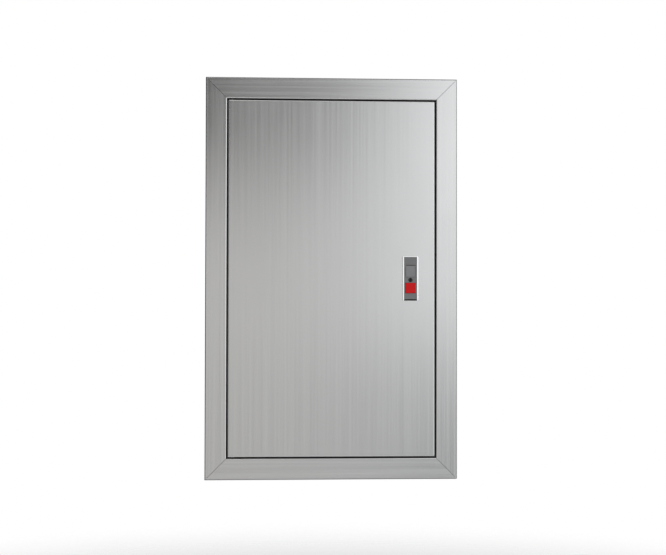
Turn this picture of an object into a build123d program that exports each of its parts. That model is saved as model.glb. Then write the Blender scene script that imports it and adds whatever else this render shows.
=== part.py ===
from build123d import *
import math
import os

# Flush wall cabinet of a fire alarm control panel, in millimetres.
# X runs to the right, Y into the wall and Z up. The origin is the centre of the rear face.

# ---- driving sizes
trim_width = 500.0
trim_height = 796.0
total_depth = 160.0
rail_width = 42.0      # visible width of each mitred trim rail
sheet = 1.5            # steel of box, trim and door
door_gap = 3.0
door_depth = 20.0
box_overlap = 30.0     # how far the trim stands out past the box, each side
trim_lip = 12.0        # outer lip of the trim, back to the wall surface
rebate = 24.0          # trim front face to the face of the stop lip
stop_lip = 24.0        # how far the stop lip reaches in past the door opening
seam = 0.4             # open line left at each mitre
bend_inside = 0.5      # inside radius of every sheet bend
slack = 0.05           # radial play of a pin or screw in its hole

front = -total_depth
half_w = trim_width / 2
half_h = trim_height / 2
open_w = half_w - rail_width           # half sizes of the door opening
open_h = half_h - rail_width
door_w = open_w - door_gap             # half sizes of the door
door_h = open_h - door_gap
mouth_w = open_w - stop_lip            # half sizes of the clear mouth inside the stop lip
mouth_h = open_h - stop_lip
box_w = half_w - box_overlap           # half sizes of the back box
box_h = half_h - box_overlap
stop_face = front + rebate             # front of the stop lip
box_front = stop_face + sheet          # front of the box, against the stop lip
door_back = front + door_depth

# ---- hinge: vertical pins in the top and bottom of the trim
pivot_inset = 6.5
pivot_x = -door_w + pivot_inset
pivot_y = front + pivot_inset
pin_radius = 3.0
bush_radius = 4.5

# ---- lock, centred on the door's height
lock_x = 156.4
lock_width = 31.4
lock_height = 88.0
lock_proud = 4.0
lock_rim = 2.8         # raised rim at the sides of the face
lock_head_rim = 1.4
lock_foot_rim = 0.8
lock_foot_slot = 1.8   # narrow slot just above the foot rim
lock_recess = 1.2
lock_body_w = 25.0
lock_body_h = 80.0
lock_body_back = -137.0
lock_face = front - lock_proud
lock_floor = lock_face + lock_recess
plug_z = -3.2
plug_radius = 4.2
button_z = -19.0
button_size = 20.4
button_travel = 3.0
button_pocket_floor = -146.0
button_back = -155.0
button_stem_end = button_pocket_floor - button_travel - 0.5
flap_width = 18.0
flap_bottom = 3.0
flap_pin_z = 24.2
flap_pin_y = lock_face + 2.9
flap_pin_radius = 0.8

# ---- inside
plate_face = -14.0     # front of the mounting plate
plate_sheet = 2.0
plate_w = 178.0
plate_h = 326.0
fascia_face = -116.0
fascia_sheet = 1.2
fascia_bend = 1.6
fascia_w = 170.0
fascia_low = 62.0
fascia_high = 318.0
board_sheet = 1.6
fascia_board_face = -104.0
loop_board_face = -26.0


# ---- shared shapes

def block(x, y, z):
    """A box between the two values given for each axis."""
    size = (x[1] - x[0], y[1] - y[0], z[1] - z[0])
    return Pos((x[0] + x[1]) / 2, (y[0] + y[1]) / 2, (z[0] + z[1]) / 2) * Box(*size)


def rod_x(radius, y, z, x):
    return Pos((x[0] + x[1]) / 2, y, z) * Rot(0, 90, 0) * Cylinder(radius, x[1] - x[0])


def rod_y(radius, x, z, y):
    return Pos(x, (y[0] + y[1]) / 2, z) * Rot(90, 0, 0) * Cylinder(radius, y[1] - y[0])


def rod_z(radius, x, y, z):
    return Pos(x, y, (z[0] + z[1]) / 2) * Cylinder(radius, z[1] - z[0])


def hex_y(across_flats, x, z, y):
    """A hexagonal bar along Y."""
    outline = RegularPolygon(across_flats / math.sqrt(3), 6)
    return Pos(x, y[0], z) * Rot(-90, 0, 0) * extrude(outline, y[1] - y[0])


def group(solids):
    """Separate solids that share one node."""
    return Compound(children=list(solids))


def ring(x, y, z, width):
    """Four blocks round the edge of a rectangle."""
    inside = (z[0] + width, z[1] - width)
    return [
        block(x, y, (z[0], inside[0])),
        block(x, y, (inside[1], z[1])),
        block((x[0], x[0] + width), y, inside),
        block((x[1] - width, x[1]), y, inside),
    ]


def mirrored(pieces, plane):
    """A group's mirror image."""
    return group([mirror(piece, plane) for piece in pieces.solids()])


def sheets(shell, panels):
    """A folded or welded shell as separate flat sheets, which meet edge to edge."""
    return group([shell & panel for panel in panels])


def folded(path):
    """Face of a folded sheet: path is one side of it, and the sheet lies to the left."""
    count = len(path)
    inner, outer = bend_inside, bend_inside + sheet
    normals = []
    for a, b in zip(path, path[1:]):
        length = math.dist(a, b)
        normals.append(((a[1] - b[1]) / length, (b[0] - a[0]) / length))
    near, far, other = [], [], []
    for i, (u, v) in enumerate(path):
        before = normals[max(i - 1, 0)]
        after = normals[min(i, count - 2)]
        if before == after:
            other.append((u + after[0] * sheet, v + after[1] * sheet))
            continue
        other.append((u + (before[0] + after[0]) * sheet, v + (before[1] + after[1]) * sheet))
        left_turn = before[0] * after[1] - before[1] * after[0] > 0
        near.append(outer if left_turn else inner)
        far.append(inner if left_turn else outer)
    one = FilletPolyline(*path, radius=near)
    two = FilletPolyline(*other, radius=far)
    ends = [Line(path[0], other[0]), Line(path[-1], other[-1])]
    return make_face([*one.edges(), *two.edges(), *[e.edge() for e in ends]])


# ---- trim frame

def side_rail(half_span, half_length, lip_holes):
    """One mitred rail, standing at X = half_span outside, with its length along Z."""
    opening = half_span - rail_width
    # Along the stop lip, out of the rebate, across the front and back to the wall.
    profile = folded([
        (opening - stop_lip, stop_face),
        (opening, stop_face),
        (opening, front),
        (half_span, front),
        (half_span, front + trim_lip),
    ])
    rail = Pos(0, 0, -half_length) * extrude(profile, 2 * half_length, dir=(0, 0, 1))
    reach = half_length - half_span - seam / math.sqrt(2)
    low, high = opening - stop_lip - 5, half_span + 10
    mitre = Polyline(
        (low, low + reach), (high, high + reach), (high, -high - reach), (low, -low - reach), close=True
    )
    keep = extrude(Plane.XZ * make_face(mitre), total_depth + 20, dir=(0, -1, 0))
    rail = rail & Pos(0, 10, 0) * keep
    for along in lip_holes:
        hole = rod_y(2 + slack, opening - 18, along, (stop_face - 1, box_front + 1))
        rail = rail - hole
    # Sheets part where the bends end: stop lip, rebate wall, front and outer lip.
    bend = bend_inside + sheet
    depth, length = (front - 1, 0), (-half_length, half_length)
    cuts = (low, opening - bend_inside, opening + bend, high)
    panels = [
        block((cuts[0], cuts[1]), depth, length),
        block((cuts[1], cuts[2]), depth, length),
        block((cuts[2], cuts[3]), (front - 1, front + bend), length),
        block((cuts[2], cuts[3]), (front + bend, 0), length),
    ]
    return sheets(rail, panels)


side_screws = (-280.0, -95.0, 95.0, 280.0)
end_screws = (-110.0, 110.0)
screw_in = 18.0        # from the door opening to the centre of a lip screw


def lock_rail():
    return side_rail(half_w, half_h, side_screws)


def hinge_rail():
    return mirrored(lock_rail(), Plane.YZ)


def top_rail():
    rail = Rot(0, -90, 0) * side_rail(half_h, half_w, end_screws)
    pin_hole = rod_z(pin_radius + slack, pivot_x, pivot_y, (open_h - 1, open_h + 3))
    return group([wall - pin_hole for wall in rail.solids()])


def bottom_rail():
    return mirrored(top_rail(), Plane.XY)


def corner_plates():
    """Square gussets behind the four mitres."""
    size = rail_width - 2 * sheet - 2
    low_y = front + sheet
    plate = block(
        (open_w + sheet + 1, open_w + sheet + 1 + size),
        (low_y, low_y + sheet),
        (open_h + sheet + 1, open_h + sheet + 1 + size),
    )
    plate = chamfer(plate.edges().filter_by(Axis.Y), 3)
    right = [plate, mirror(plate, Plane.XY)]
    return group(right + [mirror(p, Plane.YZ) for p in right])


def foam_seal():
    """Closed foam strip on the stop lip, just inside the edge of the door."""
    thickness = 2.7
    inset, width = 5.0, 8.0
    y = (stop_face - thickness, stop_face)
    outer = block((inset - open_w, open_w - inset), y, (inset - open_h, open_h - inset))
    outer = fillet(outer.edges().group_by(Axis.Y)[0], 1.0)
    cut = inset + width
    return outer - block((cut - open_w, open_w - cut), (y[0] - 1, y[1] + 1), (cut - open_h, open_h - cut))


def pan_screw(radius, x, z, seat, length):
    """Cross-recessed pan-head screw driven along +Y, its head resting on the plane Y = seat."""
    head_radius, head_height = 1.95 * radius, 1.3 * radius
    head = rod_y(head_radius, x, z, (seat - head_height, seat))
    head = fillet(head.edges().group_by(Axis.Y)[0], 0.7 * head_height)
    arm, half_slot, depth = 0.95 * radius, 0.2 * radius, 0.6 * head_height
    y = (seat - head_height - 1, seat - head_height + depth)
    cross = block((x - arm, x + arm), y, (z - half_slot, z + half_slot))
    cross = cross + block((x - half_slot, x + half_slot), y, (z - arm, z + arm))
    return head - cross + rod_y(radius, x, z, (seat, seat + length))


def fascia_screw_places():
    return [(sx * 156.0, z) for sx in (-1, 1) for z in (fascia_low + 14, fascia_high - 14)]


def pan_screws():
    side = [(sx * (open_w - screw_in), z) for sx in (-1, 1) for z in side_screws]
    ends = [(x, sz * (open_h - screw_in)) for sz in (-1, 1) for x in end_screws]
    screws = [pan_screw(2.0, x, z, stop_face, 9.0) for x, z in side + ends]
    screws += [pan_screw(2.0, x, z, fascia_face, 7.5) for x, z in fascia_screw_places()]
    return group(screws)


def pivot_pins():
    """Top and bottom hinge pins. The bottom one has a shoulder that carries the door."""
    head_radius, head, shoulder_radius = 4.4, 2.5, 5.0
    tip = door_h - 9
    top = rod_z(pin_radius, pivot_x, pivot_y, (tip, open_h + sheet))
    top = top + rod_z(head_radius, pivot_x, pivot_y, (open_h + sheet, open_h + sheet + head))
    top = chamfer(top.edges().group_by(Axis.Z)[0], 0.6)
    bottom = mirror(top, Plane.XY)
    shoulder = rod_z(shoulder_radius, pivot_x, pivot_y, (-open_h, -door_h - 1.25))
    return group([top, bottom + shoulder])


# ---- back box

fixing_x = 150.0
fixing_z = 300.0
fixing_radius = 3.5
entry_x = (-120.0, 0.0, 120.0)
entry_y = -67.0
entry_radius = 11.25
grommet_x = (-120.0, 0.0, 120.0)
grommet_radius = 14.0


def back_box():
    """Open steel box with a returned front flange, entry holes and knockouts, welded from flat sheets."""
    shell = block((-box_w, box_w), (box_front, 0), (-box_h, box_h))
    shell = fillet(shell.edges(), 2.0)
    inner_w, inner_h = box_w - sheet, box_h - sheet
    shell = shell - block((-inner_w, inner_w), (box_front + sheet, -sheet), (-inner_h, inner_h))
    shell = shell - block((-mouth_w, mouth_w), (box_front - 1, box_front + 3), (-mouth_h, mouth_h))
    cuts = [rod_y(fixing_radius, sx * fixing_x, sz * fixing_z, (-3, 1)) for sx in (-1, 1) for sz in (-1, 1)]
    cuts += [rod_z(entry_radius, x, entry_y, (box_h - 3, box_h + 1)) for x in entry_x]
    cuts += [rod_z(grommet_radius, x, entry_y, (-box_h - 1, 3 - box_h)) for x in grommet_x]
    lip_x, lip_z = open_w - screw_in, open_h - screw_in
    through = (box_front - 1, box_front + 3)
    cuts += [rod_y(2 + slack, sx * lip_x, z, through) for sx in (-1, 1) for z in side_screws]
    cuts += [rod_y(2 + slack, x, sz * lip_z, through) for sz in (-1, 1) for x in end_screws]
    for sx in (-1, 1):
        cuts += [knockout_ring(sx, z) for z in (-260.0, -200.0, 200.0, 260.0)]
    for cut in cuts:
        shell = shell - cut
    weld = 2.0         # depth of the weld lines from each face
    all_x, all_z = (-box_w, box_w), (-box_h, box_h)
    panels = [block(all_x, (-weld, 0), all_z)]
    panels += ring(all_x, (box_front + weld, -weld), all_z, weld)
    panels += ring(all_x, (box_front, box_front + weld), all_z, box_w - mouth_w)
    return sheets(shell, panels)


def knockout_ring(side, z):
    """Ring pressed part way through a side wall, left whole at two small bridges."""
    depth, outside, inside, bridge = 0.7, 12.0, 11.2, 1.5
    x = (side * box_w - depth, side * box_w + depth)
    ring = rod_x(outside, entry_y, z, x) - rod_x(inside, entry_y, z, x)
    return ring - block((x[0] - 1, x[1] + 1), (entry_y - bridge, entry_y + bridge), (z - 13, z + 13))


def entry_grommets():
    """Rubber blanking grommets in the bottom wall, each with a thin membrane to pierce."""
    grommets = []
    for x in grommet_x:
        wall = (-box_h, sheet - box_h)
        rings = rod_z(grommet_radius + 3, x, entry_y, (wall[0] - 2.5, wall[0]))
        rings = rings + rod_z(grommet_radius + 3, x, entry_y, (wall[1], wall[1] + 2.5))
        body = fillet(rings.edges().filter_by(GeomType.CIRCLE), 0.9)
        body = body + rod_z(grommet_radius - 0.1, x, entry_y, wall)
        mouth = (wall[0] - 3, wall[0] + 0.4)
        body = body - rod_z(grommet_radius - 3, x, entry_y, mouth)
        body = body - rod_z(grommet_radius - 3, x, entry_y, (wall[1] - 0.2, wall[1] + 3))
        grommets.append(body)
    return group(grommets)


stud_places = [(sx * 168.0, sz * 314.0) for sx in (-1, 1) for sz in (-1, 1)]
earth_x, earth_z = -82.0, 34.0


def mounting_plate():
    plate = block((-plate_w, plate_w), (plate_face, plate_face + plate_sheet), (-plate_h, plate_h))
    plate = fillet(plate.edges().filter_by(Axis.Y), 6.0)
    through = (plate_face - 1, plate_face + plate_sheet + 1)
    for x, z in stud_places:
        plate = plate - rod_y(3.3, x, z, through)
    for sx in (-1, 1):
        for sz in (-1, 1):
            plate = plate - rod_y(8.0, sx * fixing_x, sz * fixing_z, through)
    return plate - rod_y(3 + slack, earth_x, earth_z, through)


def plate_fixings():
    """Four welded studs with shoulders behind the plate, and the nuts in front of it."""
    solids = []
    for x, z in stud_places:
        stud = rod_y(3.0, x, z, (plate_face - 12, -sheet))
        solids.append(stud + rod_y(6.0, x, z, (plate_face + plate_sheet, -sheet)))
        nut = hex_y(10.0, x, z, (plate_face - 6.2, plate_face - 1.2))
        washer = rod_y(6.2, x, z, (plate_face - 1.2, plate_face))
        solids.append(nut + washer - rod_y(3 + slack, x, z, (plate_face - 7, plate_face + 1)))
    return solids


earth_free = 14.0


def earth_stud():
    """Brass earth stud through the plate, with a nut and washer on each side."""
    stud = rod_y(3.0, earth_x, earth_z, (plate_face - 7 - earth_free, plate_face + 8))
    front_nut = hex_y(10.0, earth_x, earth_z, (plate_face - 7, plate_face - 1.5))
    washer = rod_y(7.0, earth_x, earth_z, (plate_face - 1.5, plate_face))
    back_nut = hex_y(10.0, earth_x, earth_z, (plate_face + plate_sheet, plate_face + 7))
    return stud + front_nut + washer + back_nut


# ---- loop board, below the fascia

loop_x = (-40.0, 172.0)
loop_z = (-150.0, 45.0)
loop_pillar_places = [(x, z) for x in (-34.0, 66.0, 166.0) for z in (-122.0, 16.0)]
terminal_height = 15.0
terminal_ways = 8
terminal_pitch = 5.0
ribbon_x = (88.0, 114.0)


def loop_board():
    board = block(loop_x, (loop_board_face, loop_board_face + board_sheet), loop_z)
    board = fillet(board.edges().filter_by(Axis.Y), 3.0)
    for x, z in loop_pillar_places:
        board = board - rod_y(1.5 + slack, x, z, (loop_board_face - 1, loop_board_face + 3))
    header = block(ribbon_x, (loop_board_face - 6.5, loop_board_face), (0.0, 8.0))
    return group([board, header])


fascia_board_x = (-140.0, 140.0)
fascia_board_z = (84.0, 300.0)
fascia_pillar_places = [(sx * 132.0, z) for sx in (-1, 1) for z in (92.0, 292.0)]


def board_pillars():
    """Nylon spacers under the loop board and between the fascia and its board."""
    solids = []
    for x, z in loop_pillar_places:
        pillar = hex_y(6.0, x, z, (loop_board_face + board_sheet, plate_face))
        cap = rod_y(3.2, x, z, (loop_board_face - 2, loop_board_face))
        solids.append(pillar + cap + rod_y(1.5, x, z, (loop_board_face - 1, plate_face - 1)))
    for x, z in fascia_pillar_places:
        solids.append(hex_y(6.0, x, z, (fascia_face + fascia_sheet, fascia_board_face)))
    return group(solids)


def terminal_block(x, z, faces_up):
    """Pluggable terminal block: a stepped body with wire mouths and screw wells."""
    length = terminal_ways * terminal_pitch + 1.0
    way = 1 if faces_up else -1
    near, far = z, z + way * 11.0
    y = (loop_board_face - terminal_height, loop_board_face)
    body = block((x, x + length), y, (min(near, far), max(near, far)))
    edges = body.edges().filter_by(Axis.X).group_by(Axis.Y)[0]
    outer_edge = edges.sort_by(Axis.Z)[-1 if faces_up else 0]
    body = chamfer(outer_edge, 3.0)
    for i in range(terminal_ways):
        centre = x + 0.5 + terminal_pitch * (i + 0.5)
        mouth_y = (y[0] + 6.5, y[0] + 10.5)
        mouth_z = sorted((far - way * 4, far + way * 1))
        body = body - block((centre - 1.7, centre + 1.7), mouth_y, mouth_z)
        body = body - rod_y(1.7, centre, z + way * 5.0, (y[0] - 1, y[0] + 2))
    return body


def loop_terminals():
    length = terminal_ways * terminal_pitch + 1.0
    low = [terminal_block(loop_x[0] + 12 + i * (length + 6), loop_z[0] + 12.5, False) for i in range(4)]
    high = [terminal_block(loop_x[0] + 12 + i * (length + 6), loop_z[1] - 12.5, True) for i in (0, 2, 3)]
    return group(low + high)


def board_relays():
    """A row of sealed relays above the lower terminals."""
    relays = []
    for i in range(8):
        x = loop_x[0] + 14 + i * 23.5
        y = (loop_board_face - 15.5, loop_board_face)
        relay = block((x, x + 19), y, (-118.0, -103.0))
        relays.append(fillet(relay.edges().group_by(Axis.Y)[0], 0.8))
    return group(relays)


def board_capacitors():
    """Electrolytic capacitors standing on the loop board."""
    cans = []
    places = [(-22.0, -75.0, 8.0, 25.0), (-22.0, -52.0, 8.0, 25.0), (-22.0, -32.0, 6.3, 20.0)]
    places += [(2.0, -78.0, 5.0, 16.0), (2.0, -62.0, 5.0, 16.0), (150.0, -20.0, 6.3, 20.0)]
    for x, z, radius, height in places:
        can = rod_y(radius, x, z, (loop_board_face - height, loop_board_face))
        can = fillet(can.edges().group_by(Axis.Y)[0], 0.8)
        y = loop_board_face - height
        cross = block((x - radius / 2, x + radius / 2), (y - 1, y + 0.3), (z - 0.2, z + 0.2))
        cross = cross + block((x - 0.2, x + 0.2), (y - 1, y + 0.3), (z - radius / 2, z + radius / 2))
        cans.append(can - cross)
    return group(cans)


# ---- power supply

supply_x = (-172.0, -62.0)
supply_z = (-150.0, 10.0)
supply_front = -56.0
supply_sheet = 1.2
strip_room = 18.0      # open length left at each end for a terminal strip


def power_supply_tray():
    """Folded tray that the supply's board sits in."""
    tray = block(supply_x, (supply_front + supply_sheet, plate_face), supply_z)
    x = (supply_x[0] + supply_sheet, supply_x[1] - supply_sheet)
    z = (supply_z[0] - 1, supply_z[1] + 1)
    return tray - block(x, (supply_front - 1, plate_face - supply_sheet), z)


def power_supply_cover():
    """Slotted cover with a turned-down edge at each end, short of the terminal strips."""
    z = (supply_z[0] + strip_room, supply_z[1] - strip_room)
    under = supply_front + supply_sheet
    edge_depth, play = 20.0, 0.2
    edge_x = (supply_x[0] + supply_sheet + play, supply_x[1] - supply_sheet - play)
    cover = block(supply_x, (supply_front, under), z)
    for end in ((z[0], z[0] + supply_sheet), (z[1] - supply_sheet, z[1])):
        cover = cover + block(edge_x, (under, under + edge_depth), end)
    slots = []
    for column in range(5):
        for row in range(10):
            x = supply_x[0] + 19 + column * 18
            at = z[0] + 12 + row * 11
            slot = Pos(x, under, at) * Rot(90, 0, 0) * extrude(SlotOverall(13, 4), 4, both=True)
            slots.append(slot)
    middle = (z[0] + z[1]) / 2
    ends = [block(supply_x, (under, plate_face), half) for half in ((z[0], middle), (middle, z[1]))]
    return sheets(cover - slots, [block(supply_x, (supply_front, under), z), *ends])


def power_supply_board():
    """Board inside the supply, with its transformer, choke, heatsink and reservoir capacitors."""
    face = plate_face - supply_sheet - 5
    x = (supply_x[0] + 4, supply_x[1] - 4)
    board = block(x, (face, face + board_sheet), (supply_z[0] + 2, supply_z[1] - 2))
    for cx in (x[0] + 5, x[1] - 5):
        for cz in (supply_z[0] + 24, supply_z[1] - 24):
            board = board + rod_y(3.0, cx, cz, (face + board_sheet, plate_face - supply_sheet))
    middle = (supply_x[0] + supply_x[1]) / 2
    transformer = block((middle - 20, middle + 20), (face - 28, face), (-85.0, -48.0))
    transformer = fillet(transformer.edges().group_by(Axis.Y)[0], 2.0)
    choke = rod_y(12.0, middle + 20, -26.0, (face - 14, face))
    choke = choke - rod_y(5.0, middle + 20, -26.0, (face - 15, face + 1))
    heatsink = block((supply_x[0] + 9, supply_x[0] + 13), (face - 28, face), (-110.0, -30.0))
    cans = [rod_y(9.0, middle + dx, -108.0, (face - 26, face)) for dx in (4, 28)]
    cans.append(rod_y(9.0, middle - 12, -24.0, (face - 26, face)))
    return group([board, transformer, choke, heatsink, *cans])


def screw_terminals():
    """Barrier strips: mains entry block, and the supply's input and output strips."""
    strip_back = plate_face - supply_sheet - 5
    strips = [
        ((-165.0, -105.0), (plate_face - 24, plate_face), (22.0, 44.0), 4),
        ((-160.0, -100.0), (strip_back - 18, strip_back), (supply_z[1] - 15, supply_z[1] - 1), 5),
        ((-150.0, -80.0), (strip_back - 18, strip_back), (supply_z[0] + 1, supply_z[0] + 15), 6),
    ]
    step, wall = 6.0, 2.0
    solids = []
    for x, y, z, ways in strips:
        strip = block(x, (y[0] + step, y[1]), z)
        pitch = (x[1] - x[0] - wall) / ways
        middle = (z[0] + z[1]) / 2
        for i in range(ways + 1):
            left = x[0] + i * pitch
            strip = strip + block((left, left + wall), y, z)
        for i in range(ways):
            centre = x[0] + wall / 2 + (i + 0.5) * pitch
            strip = strip - rod_y(1.5, centre, middle, (y[0] + step - 1, y[0] + step + 7))
        solids.append(strip)
    return group(solids)


# ---- cable duct

duct_x = (-172.0, 172.0)
duct_z = (-196.0, -168.0)
duct_front = -54.0
duct_wall = 1.5
finger_pitch = 10.0


def cable_duct():
    """Slotted wiring duct: a channel whose long walls are cut into fingers."""
    y = (duct_front, plate_face)
    duct = block(duct_x, y, duct_z)
    duct = duct - block((duct_x[0] - 1, duct_x[1] + 1), (y[0] - 1, y[1] - duct_wall),
                        (duct_z[0] + duct_wall, duct_z[1] - duct_wall))
    slots = []
    count = int((duct_x[1] - duct_x[0]) / finger_pitch)
    first = -(count - 1) / 2 * finger_pitch
    for i in range(count):
        x = first + i * finger_pitch
        slots.append(block((x - 2.5, x + 2.5), (y[0] + 3, y[1] - 7), (duct_z[0] - 1, duct_z[1] + 1)))
    return duct - slots


def duct_cover():
    """Snap-on lid with hooked edges outside the fingers."""
    play = 0.1
    y = (duct_front - duct_wall - play, duct_front + 3)
    z = (duct_z[0] - duct_wall - play, duct_z[1] + duct_wall + play)
    lid = block(duct_x, y, z)
    lid = fillet(lid.edges().filter_by(Axis.X).group_by(Axis.Y)[0], 1.0)
    return lid - block((duct_x[0] - 1, duct_x[1] + 1), (duct_front - play, y[1] + 1),
                       (duct_z[0] - play, duct_z[1] + play))


# ---- batteries

battery_size = (151.0, 65.0, 94.0)
battery_gap = 4.0
shelf_z = -314.0
shelf_sheet = 2.0
battery_back = plate_face - 0.5
battery_front = battery_back - battery_size[1]
battery_low = shelf_z + shelf_sheet
battery_top = battery_low + battery_size[2]
tab_inset = 8.0
tab_y = battery_back - 12


def battery_shelf():
    """Angle shelf screwed to the plate, with a raised front edge."""
    x = (-158.0, 158.0)
    y = (battery_front - 2.5, plate_face)
    shelf = block(x, y, (shelf_z, battery_low))
    lip = block(x, (y[0], y[0] + shelf_sheet), (shelf_z, battery_low + 14))
    return shelf + lip


def battery(low_x):
    """Sealed battery: a case with a lid joint, and the recess of its two terminals."""
    x = (low_x, low_x + battery_size[0])
    case = block(x, (battery_front, battery_back), (battery_low, battery_top))
    case = fillet(case.edges().filter_by(Axis.Z), 3.0)
    case = fillet(case.edges().group_by(Axis.Z)[-1], 1.5)
    joint = block((x[0] - 1, x[1] + 1), (battery_front - 1, battery_back + 1),
                  (battery_top - 12, battery_top - 11.2))
    core = block((x[0] + 0.6, x[1] - 0.6), (battery_front + 0.6, battery_back - 0.6),
                 (battery_top - 13, battery_top - 10))
    return case - (joint - core)


def battery_left():
    return battery(-battery_gap / 2 - battery_size[0])


def battery_right():
    return battery(battery_gap / 2)


def tab_places():
    inner = battery_gap / 2 + tab_inset
    outer = battery_gap / 2 + battery_size[0] - tab_inset
    return (-outer, -inner, inner, outer)


def battery_tabs():
    """Blade terminals, each on a small foot."""
    tabs = []
    for x in tab_places():
        foot = block((x - 4.0, x + 4.0), (tab_y - 3, tab_y + 3), (battery_top, battery_top + 1.0))
        blade = block((x - 2.4, x + 2.4), (tab_y - 0.4, tab_y + 0.4), (battery_top + 1, battery_top + 7.35))
        tabs.append(foot + blade)
    return group(tabs)


bar_z = -266.0
bar_stud_x = 168.0


def battery_bar():
    """Strap across the front of both batteries, bolted back to the plate at each end."""
    thickness, height = 2.0, 20.0
    y = battery_front - thickness
    z = (bar_z - height / 2, bar_z + height / 2)
    leg_x = battery_gap / 2 + battery_size[0] + 1.0
    bar = block((-leg_x - thickness, leg_x + thickness), (y, y + thickness), z)
    foot_x = bar_stud_x + 8
    for sx in (-1, 1):
        leg = sorted((sx * leg_x, sx * (leg_x + thickness)))
        bar = bar + block(leg, (y, plate_face - 0.2), z)
        foot = sorted((sx * leg_x, sx * foot_x))
        bar = bar + block(foot, (plate_face - 0.2 - thickness, plate_face - 0.2), z)
    for sx in (-1, 1):
        bar = bar - rod_y(2.6, sx * bar_stud_x, bar_z, (plate_face - 4, plate_face + 1))
    return bar


def bar_nuts():
    """Wing nuts with their studs at the ends of the strap."""
    hub_front, tip = plate_face - 8.2, plate_face - 16
    solids = []
    for sx in (-1, 1):
        x = sx * bar_stud_x
        stud = rod_y(2.5, x, bar_z, (tip, plate_face))
        hub = rod_y(4.6, x, bar_z, (hub_front, plate_face - 2.2))
        half = [(3.5, hub_front + 4), (10, hub_front - 2), (10, tip), (7, tip), (2.5, hub_front)]
        outline = half + [(-v, w) for v, w in reversed(half)]
        across = Plane(origin=(x, 0, bar_z), x_dir=(0, 0, 1), z_dir=(-1, 0, 0))
        wings = extrude(across * make_face(Polyline(*outline, close=True)), 1.1, both=True)
        solids.append(stud + hub + wings)
    return solids


# ---- wiring inside the box

wire_radius = 1.5


def wire(points, radius, bends):
    """Round wire along straight runs joined by tangent arcs."""
    path = FilletPolyline(*points, radius=bends)
    start = Plane(origin=path @ 0, z_dir=path % 0)
    tube = sweep(start * Circle(radius), path=path)
    run = radius * radius * math.pi * path.length
    print("wire length", round(path.length), "volume share", round(tube.volume / run, 4))
    return tube


lead_start = battery_top + 7.5
lead_end = supply_z[0] + 0.5
lead_bend = 9.0


def battery_lead_positive():
    """From the right battery's outer tab, along the duct, up to the supply."""
    start_x, end_x, level = tab_places()[3], -95.0, -180.0
    points = [(start_x, lead_start), (start_x, level), (end_x, level), (end_x, lead_end)]
    return wire([(x, tab_y, z) for x, z in points], wire_radius, lead_bend)


def battery_lead_negative():
    """From the left battery's outer tab, along the duct, up to the supply."""
    start_x, end_x, level = tab_places()[0], -105.0, -187.0
    points = [(start_x, lead_start), (start_x, level), (end_x, level), (end_x, lead_end)]
    return wire([(x, tab_y, z) for x, z in points], wire_radius, lead_bend)


def battery_link_lead():
    """Short link between the two inner tabs."""
    low_x, high_x = tab_places()[1:3]
    top = lead_start + 8.0
    points = [(low_x, lead_start), (low_x, top), (high_x, top), (high_x, lead_start)]
    return wire([(x, tab_y, z) for x, z in points], wire_radius, 6.0)


def ribbon_cable():
    """Flat cable from the fascia's board down to the loop board."""
    thickness = 0.9
    path = FilletPolyline(
        (fascia_board_face + board_sheet + 6, 96.0),
        (fascia_board_face + board_sheet + 14, 84.0),
        (-78.0, 44.0),
        (-44.0, 22.0),
        (loop_board_face - 7.5, 4.0),
        radius=[8.0, 22.0, 14.0],
    )
    profile = Plane.YZ * trace(path, thickness)
    return extrude(Pos(ribbon_x[0], 0, 0) * profile, ribbon_x[1] - ribbon_x[0], dir=(1, 0, 0))


# ---- operator fascia

lcd_x, lcd_z = -62.0, 240.0
lcd_window = (122.0, 66.0)
lcd_bezel = (142.0, 86.0)
button_names = ("accept", "silence", "reset", "test")
key_button = (26.0, 16.0)
key_button_z = 140.0
key_button_travel = 1.5
key_button_x = tuple(-136.0 + 40.0 * i for i in range(len(button_names)))
zone_count = 8
zone_z = tuple(274.0 - 10.0 * i for i in range(zone_count))
zone_red_x, zone_amber_x = 48.0, 62.0
status_z = 218.0
status_amber_x = (110.0, 124.0, 138.0)
power_x = 96.0
alarm_x, alarm_z = 117.0, 262.0
lamp_radius = 2.5
alarm_radius = 5.0
buzzer_x, buzzer_z = 44.0, 140.0
switch_x, switch_z = 115.0, 140.0
switch_radius = 9.0


def grille_places():
    """A ring of six sound holes round a centre one, and a second ring of twelve."""
    places = [(buzzer_x, buzzer_z)]
    for ring, count in ((4.0, 6), (8.0, 12)):
        for i in range(count):
            turn = 2 * math.pi * i / count
            places.append((buzzer_x + ring * math.cos(turn), buzzer_z + ring * math.sin(turn)))
    return places


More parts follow.
